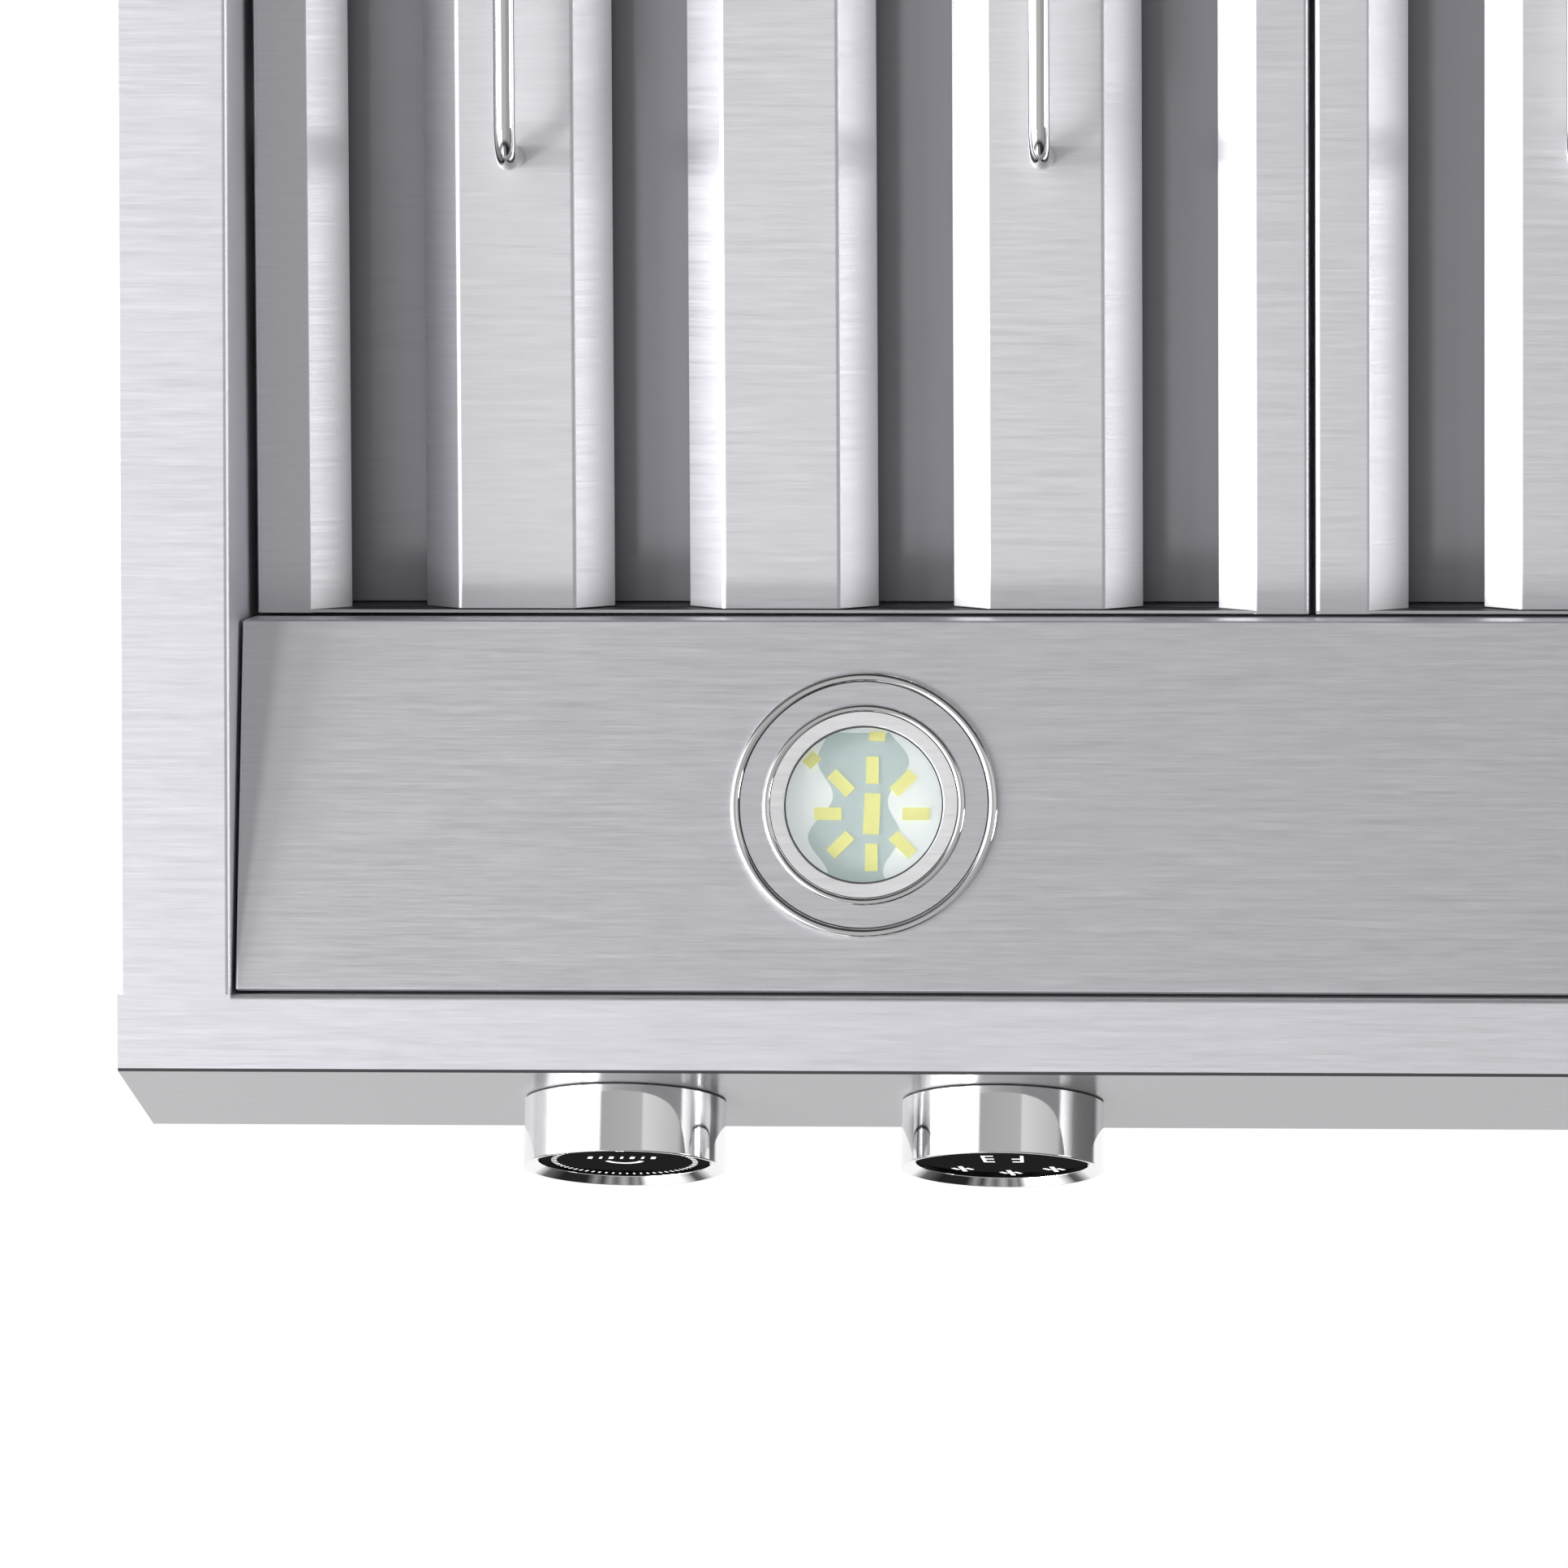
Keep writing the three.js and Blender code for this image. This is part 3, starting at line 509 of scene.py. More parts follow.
def clear_lens(name):
    """A clear plastic lens with a trace of haze."""
    material, tree, inputs = new_material(name)
    place = object_space(tree)
    haze = noise(tree, place, scale=220.0, detail=2.0)
    feed(tree, remap(tree, haze, 0.3, 0.7, 0.0, 0.03), inputs["Roughness"])
    feed(tree, tint(tree, haze, (0.95, 0.975, 0.97), (1, 1, 1)), inputs["Base Color"])
    inputs["Transmission Weight"].default_value = 1.0
    inputs["IOR"].default_value = 1.12
    return material


def lit(name, colour, strength):
    """A mark that glows a little by itself, such as a display's segment."""
    material, tree, inputs = new_material(name)
    place = object_space(tree)
    shade = noise(tree, place, scale=700.0, detail=2.0)
    dark = tuple(c * 0.92 for c in colour)
    mixed = tint(tree, shade, dark, colour)
    feed(tree, mixed, inputs["Base Color"])
    feed(tree, mixed, inputs["Emission Color"])
    inputs["Emission Strength"].default_value = strength
    inputs["Roughness"].default_value = 0.4
    return material


SHELL = brushed("shell_steel", (0.89, 0.88, 0.93), 0.46, anisotropic=0.4)
FACE = brushed("control_face_steel", (0.8, 0.795, 0.815), 0.3, spread=0.13, anisotropic=0.9)
PANEL = brushed("light_panel_steel", (0.8, 0.79, 0.83), 0.46, spread=0.09, anisotropic=0.4)
FILTER = brushed("filter_steel", (0.785, 0.778, 0.812), 0.48, anisotropic=0.3)
# Darker steel as painted shade: it stands in for the shadow seen through the filters' gaps on the upper
# baffles, and along the light panel's front lip.
PAINTED_SHADE_STEEL = brushed("painted_shade_steel", (0.36, 0.352, 0.382), 0.6, anisotropic=0.2)
SHADE = brushed("shaded_steel", (0.12, 0.12, 0.128), 0.6, anisotropic=0.2)
SATIN = brushed("satin_ring", (0.9, 0.895, 0.91), 0.5, spread=0.02, anisotropic=0.1)
CHROME = polished("chrome_finish", (0.93, 0.93, 0.94))
ZINC = galvanised("zinc_sheet")
SHAFT = brushed("ground_steel", (0.6, 0.6, 0.61), 0.25, grain=5000.0)
GLASS = black_glass("display_glass")
LENS = clear_lens("lens_clear")
# The board, its pad and its chips glow a little: painted light, which brightens the board seen behind the
# lens. The chips' yellow is their phosphor's own colour.
BOARD = lit("board_mask_painted_glow", (0.84, 0.88, 0.88), 0.34)
BOARD_PAD = lit("board_pad_painted_glow", (0.46, 0.54, 0.54), 0.4)
CHIP = lit("chip_phosphor_painted_glow", (0.86, 0.84, 0.34), 0.25)
MARK = lit("display_mark", (0.9, 0.92, 0.93), 0.8)
PLASTIC = moulded("dark_moulding", (0.05, 0.05, 0.055))
FERRITE = moulded("magnet_case", (0.09, 0.09, 0.1), 0.45)
PAINT = moulded("motor_enamel", (0.09, 0.095, 0.1), 0.35, grain=500.0)


# ---------------- shell

def drill(sheet, radius, reach, place, segments):
    """The sheet with a round hole, its radius and the drill's reach each way in millimetres."""
    profile = [(0, -reach), (radius, -reach), (radius, reach), (0, reach)]
    return boolean(sheet, lathe_mesh("drill", profile, segments, place), "DIFFERENCE")


def make_fascia():
    """Leaning control face, front flange and returns, with a hole for each knob's stem."""
    bm = bmesh.new()
    line = [
        (FASCIA_LO.y + TOP_FLANGE, FASCIA_HI.z),
        (FASCIA_LO.y, FASCIA_HI.z),
        (FASCIA_FOOT, RIM),
        (FASCIA_HI.y, RIM),
        (FASCIA_HI.y, RIM + FRONT_RETURN),
    ]
    add_folded_sheet(bm, line, SHEET, FOLD, (-HALF, HALF), "X", 8)
    sheet = mesh_from(bm, "fascia_sheet")
    for side in (-1, 1):
        bm = bmesh.new()
        low_x, high_x = sorted((side * RECESS_HALF, side * HALF))
        add_box(bm, (low_x, FASCIA_HI.y - 2 * FOLD, RIM), (high_x, FASCIA_HI.y, RIM + SHEET))
        sheet = boolean(sheet, mesh_from(bm, "flange_end"), "UNION")
    for x in KNOB_X.values():
        sheet = drill(sheet, STEM_HOLE, 4, knob_place(x), 48)
    piece = finish_piece(sheet, "fascia_sheet", "hood", SHELL, ["front_fascia"])
    recoat(piece, FACE, lambda face: face.normal.y < -0.9)
    recoat(piece, SHADE, lambda face: -0.88 < face.normal.y < -0.3 and face.center.z < RIM + 3 * MM)
    recoat(piece, PANEL, lambda face: face.normal.y > 0.2 and face.center.z < RIM + FRONT_RETURN)


def side_outline():
    """The wall's outline above the fold: behind the fascia, under the top panel."""
    clear = SHEET + CLEAR
    tilt = math.tan(LEAN)
    inside = clear / math.cos(LEAN)
    slope = (UPPER_HI.z - UPPER_LO.z) / (UPPER_HI.y - UPPER_LO.y - UPPER_TOP_LAP)
    shelf = FASCIA_LO.y + TOP_FLANGE + CLEAR
    low = RIM + WALL_FOOT
    return [
        (WALL_HI.y, low),
        (FASCIA_HI.y + CLEAR, low),
        (FASCIA_HI.y + CLEAR, RIM + FRONT_RETURN + CLEAR),
        (FASCIA_HI.y - SHEET - CLEAR, RIM + FRONT_RETURN + CLEAR),
        (FASCIA_HI.y - SHEET - CLEAR, RIM + clear),
        (FASCIA_FOOT + inside - clear * tilt, RIM + clear),
        (FASCIA_LO.y + inside + clear * tilt, FASCIA_HI.z - clear),
        (shelf, FASCIA_HI.z - clear),
        (shelf, WALL_HI.z - (TOP_LO.y - shelf) * slope),
        (TOP_LO.y, WALL_HI.z),
        (WALL_HI.y, WALL_HI.z),
    ]


def make_side(side, name):
    """Wall, rim flange and inner wall. The flange runs up to the fascia's, as if welded and ground."""
    bm = bmesh.new()
    fold = [
        (RECESS_HALF, RIM + INNER_WALL),
        (RECESS_HALF, RIM),
        (HALF, RIM),
        (HALF, RIM + SIDE_LAP),
    ]
    add_folded_sheet(bm, mirrored(fold, side), SHEET, FOLD, (FASCIA_HI.y, WALL_HI.y), "Y", 8)
    folded = mesh_from(bm, "fold")
    bm = bmesh.new()
    add_prism(bm, side_outline(), sorted((side * (HALF - SHEET), side * HALF)), "X")
    wall = mesh_from(bm, "wall")
    joined = boolean(folded, wall, "UNION")
    piece = finish_piece(joined, f"{name}_wall_sheet", "hood", SHELL,
                         [f"{name}_side_panel"])
    recoat(piece, PANEL, lambda face: side * face.normal.x < -0.9)


def make_light_panel():
    """Sloping panel with turned edges, its ends folded up too, and a hole for each light."""
    bm = bmesh.new()
    low = PANEL_LO.z
    line = [
        (PANEL_LO.y, low + PANEL_FRONT_LIP),
        (PANEL_LO.y, low),
        (PANEL_HI.y, low + PANEL_RISE),
        (PANEL_HI.y, PANEL_HI.z),
        (PANEL_HI.y - PANEL_REAR_SHELF, PANEL_HI.z),
    ]
    ends = (PANEL_LO.x + PANEL_EDGE, PANEL_HI.x - PANEL_EDGE)
    add_folded_sheet(bm, line, SHEET, 0.8 * MM, ends, "X")
    sheet = mesh_from(bm, "light_sheet")
    for x in LIGHT_X.values():
        sheet = drill(sheet, LIGHT_HOLE, 6, light_place(x), 64)
    piece = finish_piece(sheet, "light_sheet", "hood", PANEL, ["light_panel"],
                         edge=DEBURR)
    # The panel's forward-facing lip gets the darker steel: painted shade along its fold.
    recoat(piece, PAINTED_SHADE_STEEL, lambda face: face.normal.y < -0.3)
    for side in (-1, 1):
        make_panel_end(side, low)


def panel_end_curve(z, radius):
    """A quarter turn from flat to upright round the end's fold, which starts at a height."""
    centre = (PANEL_HI.x - PANEL_EDGE, z + PANEL_EDGE)
    return arc(centre, radius, -90, 0, 6) + [(centre[0] + radius, z + PANEL_END_HEIGHT)]


def make_panel_end(side, low):
    """The panel's folded-up end: a strip that turns from the panel's face to upright."""
    bm = bmesh.new()
    web = PANEL_EDGE * 0.8
    rows = []
    for y in (PANEL_LO.y + 0.5 * MM, PANEL_HI.y - 0.5 * MM):
        z = low + (y - PANEL_LO.y) * math.tan(TILT)
        outline = panel_end_curve(z, PANEL_EDGE) + panel_end_curve(z, PANEL_EDGE - web)[::-1]
        rows.append([bm.verts.new((side * u, y, v)) for u, v in outline])
    count = len(rows[0])
    for i in range(count):
        j = (i + 1) % count
        bm.faces.new((rows[0][i], rows[0][j], rows[1][j], rows[1][i]))
    for row in rows:
        for i in range(count // 2 - 1):
            bm.faces.new((row[i], row[i + 1], row[count - 2 - i], row[count - 1 - i]))
    name = "panel_end_right" if side > 0 else "panel_end_left"
    finish_piece(mesh_from(bm, name), name, "hood", PANEL)


def make_bent_sheet(name, line, low_x, high_x, replaced):
    """A shell sheet folded along a line and drawn out across the hood."""
    bm = bmesh.new()
    add_folded_sheet(bm, line, SHEET, WIDE_FOLD, (low_x, high_x), "X")
    finish_piece(mesh_from(bm, name), name, "hood", SHELL, [replaced], edge=DEBURR)


def make_upper_front():
    """The slope from the fascia's top edge to the top panel, with a lap at each end."""
    line = [
        (TOP_LO.y + UPPER_TOP_LAP, UPPER_HI.z),
        (TOP_LO.y, UPPER_HI.z),
        (UPPER_LO.y, UPPER_LO.z),
        (UPPER_LO.y + UPPER_FOOT_LAP, UPPER_LO.z),
    ]
    make_bent_sheet("upper_front_sheet", line, UPPER_LO.x, UPPER_HI.x, "upper_front_panel")


def make_ledge():
    """The channel along the wall that closes the rim and carries the filters' tongues."""
    line = [
        (LEDGE_LO.y + LEDGE_LAP, LEDGE_HI.z),
        (LEDGE_LO.y, LEDGE_HI.z),
        (LEDGE_LO.y, RIM),
        (LEDGE_HI.y, RIM),
        (LEDGE_HI.y, RIM + LEDGE_LAP),
    ]
    make_bent_sheet("ledge_sheet", line, LEDGE_LO.x, LEDGE_HI.x, "rear_ledge")


def screw_spots():
    """Along the top panel's side folds, and in front of and behind the duct collar."""
    inset = 9 * MM
    spots = []
    for x in (TOP_LO.x + inset, TOP_HI.x - inset):
        spots += [(x, y) for y in spaced(TOP_LO.y, TOP_HI.y, 24 * MM, 5)]
    for y in (COLLAR_LO.y - inset, COLLAR_HI.y + inset):
        spots += [(x, y) for x in spaced(COLLAR_LO.x, COLLAR_HI.x, 16 * MM, 4)]
    return spots


def spaced(low, high, margin, count):
    """Evenly spaced places between two ends, the first and last a margin in from them."""
    step = (high - low - 2 * margin) / (count - 1)
    return [low + margin + i * step for i in range(count)]


def make_screws():
    """Hex-washer screws, each turned a different way."""
    bm = bmesh.new()
    for x, y in screw_spots():
        place = Matrix.Translation((x, y, TOP_HI.z)) @ Matrix.Rotation(rng.uniform(0, math.tau), 4, "Z")
        washer = [(0, 0.02), (4.3, 0.02), (4.4, 0.15), (4.0, 0.9), (0, 0.9)]
        add_lathe(bm, [(radius * MM, height * MM) for radius, height in washer], 24, place)
        add_hex_head(bm, place)
    finish_piece(mesh_from(bm, "screws"), "top_screws", "hood", SHAFT)


def add_hex_head(bm, place):
    """A six-sided head with a chamfered top, sunk in the middle."""
    rows = []
    for radius, height in ((3.1, 0.85), (3.1, 2.1), (2.75, 2.45), (1.9, 2.45), (1.6, 1.9)):
        turns = [math.tau * i / 6 for i in range(6)]
        ring = [Vector((radius * math.cos(t), radius * math.sin(t), height)) * MM for t in turns]
        rows.append([bm.verts.new(place @ point) for point in ring])
    for low, high in zip(rows, rows[1:]):
        for i in range(6):
            j = (i + 1) % 6
            bm.faces.new((low[i], low[j], high[j], high[i]))
    bm.faces.new(rows[-1])
    bm.faces.new(rows[0][::-1])


# ---------------- filters

def filter_place(x):
    """From the filter's own frame, hinge line at the origin and front towards -Y, to the hood's."""
    return Matrix.Translation(FILTER_HINGE + Vector((x, 0, 0))) @ Matrix.Rotation(-FILTER_SLOPE, 4, "X")


def make_filter(side, x):
    """Frame, baffles and two handles."""
    place = filter_place(x)
    body = f"{side}_filter"
    rails = make_frame_mesh()
    piece = finish_piece(rails, f"{body}_frame_sheet", body, FILTER,
                         [f"{body}_frame"], edge=FILTER_DEBURR)
    recoat(piece, SHADE, lambda face: inside_front(face.center))
    rails.transform(place)
    make_lower_baffles(body, place)
    make_upper_baffles(body, place)
    for hand, offset in (("left", -BAFFLE_PITCH), ("right", BAFFLE_PITCH)):
        make_handle(body, hand, offset, place)


def make_frame_mesh():
    """Two side rails with their outer baffle flanges, front and rear walls and two tongues, as one."""
    bm = bmesh.new()
    bevel_end = FILTER_HALF - EDGE_FLAT - BAFFLE_RISE - 0.4 * MM
    rail = [
        (bevel_end, BAFFLE_RISE),
        (FILTER_HALF - EDGE_FLAT, 0),
        (FILTER_HALF, 0),
        (FILTER_HALF, FILTER_HEIGHT),
        (FILTER_HALF - RAIL_LAP, FILTER_HEIGHT),
    ]
    for hand in (-1, 1):
        add_folded_sheet(bm, mirrored(rail, hand), FILTER_SHEET, RAIL_FOLD, (-FILTER_LENGTH, 0), "Y")
    rails = mesh_from(bm, "rails")
    corner = ((-FILTER_HALF - MM, -FILTER_LENGTH - MM, FRONT_WALL_HEIGHT + 0.2 * MM),
              (FILTER_HALF + MM, -FILTER_LENGTH + FRONT_WALL_STEP, FILTER_HEIGHT + MM))
    rails = with_box(rails, corner, "DIFFERENCE")
    for box in frame_walls() + frame_tongues():
        rails = with_box(rails, box, "UNION")
    return rails


def with_box(mesh, box, operation):
    """The mesh joined to or cut by a box, which is its low and high corners."""
    bm = bmesh.new()
    add_box(bm, *box)
    return boolean(mesh, mesh_from(bm, "block"), operation)


def frame_walls():
    """The front wall, stepped back above its lower part, and the rear wall."""
    low = -FILTER_LENGTH + WALL_INSET
    high = low + FRONT_WALL_STEP
    rear = -WALL_INSET - FILTER_SHEET
    foot = 0.02 * MM
    top = FILTER_HEIGHT - 0.4 * MM
    step = FRONT_WALL_HEIGHT - FILTER_SHEET
    reach = FILTER_HALF - FILTER_SHEET / 2
    spans = [
        (low, low + FILTER_SHEET, foot, FRONT_WALL_HEIGHT),
        (low, high + FILTER_SHEET, step, FRONT_WALL_HEIGHT),
        (high, high + FILTER_SHEET, step, top),
        (rear, rear + FILTER_SHEET, foot, top),
    ]
    return [((-reach, y0, z0), (reach, y1, z1)) for y0, y1, z0, z1 in spans]


def frame_tongues():
    """Two flat tongues behind the rear wall, which rest on the hood's ledge."""
    return [((x - TONGUE_HALF, -0.4 * MM, 1 * MM), (x + TONGUE_HALF, TONGUE_REACH, 2.2 * MM))
            for x in (-TONGUE_X, TONGUE_X)]


def inside_front(point):
    """On the inside of a filter's front wall, in the filter's own frame."""
    near = -FILTER_LENGTH + 0.5 * MM < point.y < -FILTER_LENGTH + 3.5 * MM
    return near and point.z > 0.5 * MM and abs(point.x) < FILTER_HALF - MM


def make_lower_baffles(body, place):
    """Three channels that open upwards, their flats towards the hob."""
    flat = BAFFLE_FLAT / 2
    wing = flat + BAFFLE_RISE
    ends = (-FILTER_LENGTH + BAFFLE_GAP, -BAFFLE_GAP)
    bm = bmesh.new()
    for i in (-1, 0, 1):
        x = i * BAFFLE_PITCH
        line = [(x - wing, BAFFLE_RISE), (x - flat, 0), (x + flat, 0), (x + wing, BAFFLE_RISE)]
        add_folded_sheet(bm, line, FILTER_SHEET, BAFFLE_FOLD, ends, "Y")
    finish_baffles(bm, body, place, "lower", FILTER)


def make_upper_baffles(body, place):
    """Four shallow channels that open downwards, over the gaps between the lower ones."""
    flat = UPPER_FLAT / 2
    wing = flat + UPPER_DROP
    low = UPPER_LEVEL - UPPER_DROP
    ends = (-FILTER_LENGTH + BAFFLE_GAP + FRONT_WALL_STEP, -BAFFLE_GAP)
    bm = bmesh.new()
    for i in (-1.5, -0.5, 0.5, 1.5):
        x = i * BAFFLE_PITCH
        line = [(x + wing, low), (x + flat, UPPER_LEVEL), (x - flat, UPPER_LEVEL), (x - wing, low)]
        add_folded_sheet(bm, line, FILTER_SHEET, UPPER_FOLD, ends, "Y")
    # Their steel is darker as painted shade, for the shadow that lies on them behind the gaps.
    finish_baffles(bm, body, place, "upper", PAINTED_SHADE_STEEL)


def finish_baffles(bm, body, place, layer, material):
    """One of a filter's two layers of baffles, put in its place."""
    bm.transform(place)
    finish_piece(mesh_from(bm, layer), f"{body}_{layer}_sheets", body, material,
                 [f"{body}_{layer}_baffles"], edge=FILTER_DEBURR)


def handle_path(x):
    """A staple from the flat, down, along and back up, with round corners."""
    level = -HANDLE_DROP + HANDLE_BEND
    path = [(HANDLE_FRONT, -CLEAR)]
    path += arc((HANDLE_FRONT + HANDLE_BEND, level), HANDLE_BEND, 180, 270, 12)
    path += arc((HANDLE_REAR - HANDLE_BEND, level), HANDLE_BEND, 270, 360, 12)
    path.append((HANDLE_REAR, -CLEAR))
    return [Vector((x, y, z)) for y, z in path]


def make_handle(body, hand, x, place):
    """A polished wire grip on one of the filter's outer baffles."""
    bm = bmesh.new()
    add_tube(bm, handle_path(x), HANDLE_RADIUS, 24)
    bm.transform(place)
    finish_piece(mesh_from(bm, "handle"), f"{body}_{hand}_grip", body, CHROME,
                 [f"{body}_{hand}_handle"], 50)


# ---------------- knobs

def knob_place(x):
    """Knob frame: +Z out of the fascia, +Y towards the face's top edge, +X to the right."""
    middle = Vector((x, (FASCIA_LO.y + FASCIA_FOOT) / 2, (RIM + FASCIA_HI.z) / 2))
    return Matrix.Translation(middle) @ Matrix.Rotation(math.pi / 2 + LEAN, 4, "X")


def make_knob(name, x):
    """A turned ring with a bevel inside its rim, round a glass that lies a little lower."""
    place = knob_place(x)
    length, base, rim, bore, seat = 18.4, 0.45, 26.75, 20.2, 22.9
    shelf, glass_face = 13.8, 16.4
    profile = [(bore, base), (rim - 0.1, base), (rim, base + 0.1)]
    profile += arc((rim - 0.35, length - 0.35), 0.35, 0, 90, 4)
    profile += arc((rim - 0.75, length - 0.25), 0.25, 90, 150, 3)
    profile += [(seat + 0.1, glass_face + 0.2), (seat, glass_face), (seat, shelf)]
    profile += [(bore, shelf), (bore, base)]
    make_turned(profile, 160, place, f"{name}_grip_ring", f"{name}_grip", CHROME,
                [f"{name}_ring"])
    edge, back = seat - 0.3, shelf + 0.4
    glass = [(0, back), (edge - 0.1, back), (edge, back + 0.1), (edge, glass_face - 0.2)]
    glass += [(edge - 0.2, glass_face), (0, glass_face)]
    make_turned(glass, 96, place, f"{name}_glass", f"{name}_push", GLASS,
                [f"{name}_display"])


def add_stroke(bm, a, b, width, level=MARK_LEVEL, height=MARK_HEIGHT):
    """A flat bar from a to b, in millimetres: on a knob's glass, unless its level is given."""
    a, b = Vector(a), Vector(b)
    along = (b - a).normalized()
    across = Vector((-along.y, along.x)) * width / 2
    add_flat(bm, [a - across, b - across, b + across, a + across], level, height)


def add_flat(bm, outline, level, height):
    """A flat shape standing a little way up from a level, in millimetres."""
    low = [bm.verts.new(Vector((p[0], p[1], level)) * MM) for p in outline]
    high = [bm.verts.new(Vector((p[0], p[1], level + height)) * MM) for p in outline]
    bm.faces.new(low[::-1])
    bm.faces.new(high)
    count = len(outline)
    for i in range(count):
        j = (i + 1) % count
        bm.faces.new((low[i], low[j], high[j], high[i]))


def add_ring_stroke(bm, centre, radius, width, start, end, steps):
    """A curved bar, from one turn in degrees to another."""
    points = arc(centre, radius, start, end, steps)
    for a, b in zip(points, points[1:]):
        add_stroke(bm, a, b, width)


def add_fan(bm, x, y):
    """A four-bladed fan mark."""
    centre = Vector((x, y))
    add_stroke(bm, centre + Vector((0.5, -3.6)), centre + Vector((-0.5, 3.6)), 1.2)
    for hand in (-1, 1):
        add_stroke(bm, centre + Vector((hand * 1.1, hand)), centre + Vector((hand * 2.6, -hand)), 1.1)


def make_outer_marks(place):
    """A scale of ticks open at one side, a level bar over an arc, and a small lamp mark."""
    bm = bmesh.new()
    ticks = 52
    for i in range(ticks):
        turn = math.radians(-56 + 292 * i / (ticks - 1))
        spoke = Vector((math.cos(turn), math.sin(turn)))
        add_stroke(bm, spoke * 18.1, spoke * 19.5, 0.5)
    for i in range(7):
        x = -8.4 + 2.8 * i
        add_stroke(bm, (x, -6.4), (x + 0.6, -3.6), 0.7 if i % 2 else 1.2)
    add_ring_stroke(bm, (0, -1.8), 4.8, 1.3, 20, 160, 20)
    for hand in (-1, 1):
        add_stroke(bm, (hand * 0.4, -14.6), (hand * 1.9, -17.4), 1.0)
        add_stroke(bm, (hand * 2.6, -16.9), (hand * 3.3, -18.4), 0.6)
    bm.transform(place)
    finish_piece(mesh_from(bm, "marks"), "outer_knob_marks", "outer_knob_push", MARK)


def make_inner_marks(place):
    """Two plain seven-segment glyphs with some bars lit, and three small fans past them."""
    bm = bmesh.new()
    for x, hand, levels in ((3.5, 1, (-9.8, -5.6, -1.4)), (-4.4, -1, (-5.6, -1.4))):
        add_stroke(bm, (x + hand * 1.3, -10.2), (x + hand * 0.9, -1.0), 0.9)
        for y in levels:
            add_stroke(bm, (x + hand * 0.8, y), (x - hand * 1.6, y), 1.0)
    for x, y in ((11.1, 9.4), (-1.4, 15.0), (-13.2, 9.4)):
        add_fan(bm, x, y)
    bm.transform(place)
    finish_piece(mesh_from(bm, "marks"), "inner_knob_marks", "inner_knob_push", MARK)


# ---------------- lights

def light_place(x):
    """Light frame: +Z up into the hood, square to the sloping panel."""
    rise = (LIGHT_Y - PANEL_LO.y) * math.tan(TILT)
    return Matrix.Translation((x, LIGHT_Y, PANEL_LO.z + rise)) @ Matrix.Rotation(TILT, 4, "X")


def make_light(side, x):
    """Two brushed rings, each with a bright bead round it, a lens and a board with its chips."""
    place = light_place(x)
    name = f"{side}_light"
    make_trim(name, place)
    make_inner_ring(name, place)
    make_lens(name, place)
    board = [(0, 5), (23.8, 5), (24, 5.2), (24, 6.4), (23.8, 6.6), (0, 6.6)]
    make_turned(board, 64, place, f"{name}_board_disc", "hood", BOARD, [f"{name}_board"])
    make_board_marks(name, place)


def make_trim(name, place):
    """The wide outer ring, with a sleeve behind it that runs through the panel."""
    bore, sleeve, rim, face = 26.7, 29.8, 32.65, -1.1
    trim = [(sleeve, 14), (sleeve, 0.4), (bore + 0.3, 0.4), (bore, 0.1), (bore, face + 0.2)]
    trim += [(bore + 0.2, face), (rim, face), (rim, -0.3), (31, -0.3), (31, 14), (sleeve, 14)]
    make_turned(trim, 128, place, f"{name}_bezel", "hood", PANEL, [f"{name}_trim"])
    make_bead(f"{name}_outer_bead", place, radius=34.1, half=1.05, face=-0.9, top=-0.3)
    make_shadow_ring(f"{name}_outer_shadow_ring", place, inside=rim, outside=33.05, face=-0.75)


def make_inner_ring(name, place):
    """The narrow ring round the lens."""
    bore, rim, back = 20.9, 24.7, 0.4
    ring = [(bore, back), (bore, -0.7)]
    ring += arc((21.3, -0.9), 0.35, 180, 270, 3)
    ring += [(rim, -1.3), (rim, back), (bore, back)]
    make_turned(ring, 128, place, f"{name}_inner_bezel", "hood", SATIN,
                [f"{name}_inner_ring"])
    make_bead(f"{name}_inner_bead", place, radius=25.8, half=0.85, face=-0.9, top=0.3)
    make_shadow_ring(f"{name}_inner_shadow_ring", place, inside=rim, outside=24.95, face=-0.7)
    make_shadow_ring(f"{name}_lens_shadow_ring", place, inside=LENS_RADIUS, outside=bore, face=-1.0)


def make_lens(name, place):
    """A disc with a face that bulges a little towards the hob."""
    crown, bulge = -1.55, 0.7
    lens = [(r, crown + bulge * (r / LENS_RADIUS) ** 2) for r in (0, 4, 8, 12, 16, 20)]
    lens += [(LENS_RADIUS, -0.7), (LENS_RADIUS, 0.3), (0, 0.3)]
    make_turned(lens, 96, place, f"{name}_lens_disc", "hood", LENS, [f"{name}_lens"])


def make_bead(name, place, radius, half, face, top):
    """A polished bead on a ring's face: a shallow round between upright sides."""
    spread, side = 48, 0.3
    round_radius = half / math.sin(math.radians(spread))
    centre = face - side + round_radius * math.cos(math.radians(spread))
    profile = [(radius - half, top)]
    profile += arc((radius, centre), round_radius, 270 - spread, 270 + spread, 12)
    profile += [(radius + half, top), (radius - half, top)]
    make_turned(profile, 144, place, name, "hood", CHROME)


def make_shadow_ring(name, place, inside, outside, face):
    """A thin dark ring in the gap beside a bead or a lens: painted shade, a dark moulding put where that
    gap's shadow falls.
    """
    back = face + 0.4
    profile = [(inside, face), (outside, face), (outside, back), (inside, back), (inside, face)]
    make_turned(profile, 128, place, name, "hood", PLASTIC)


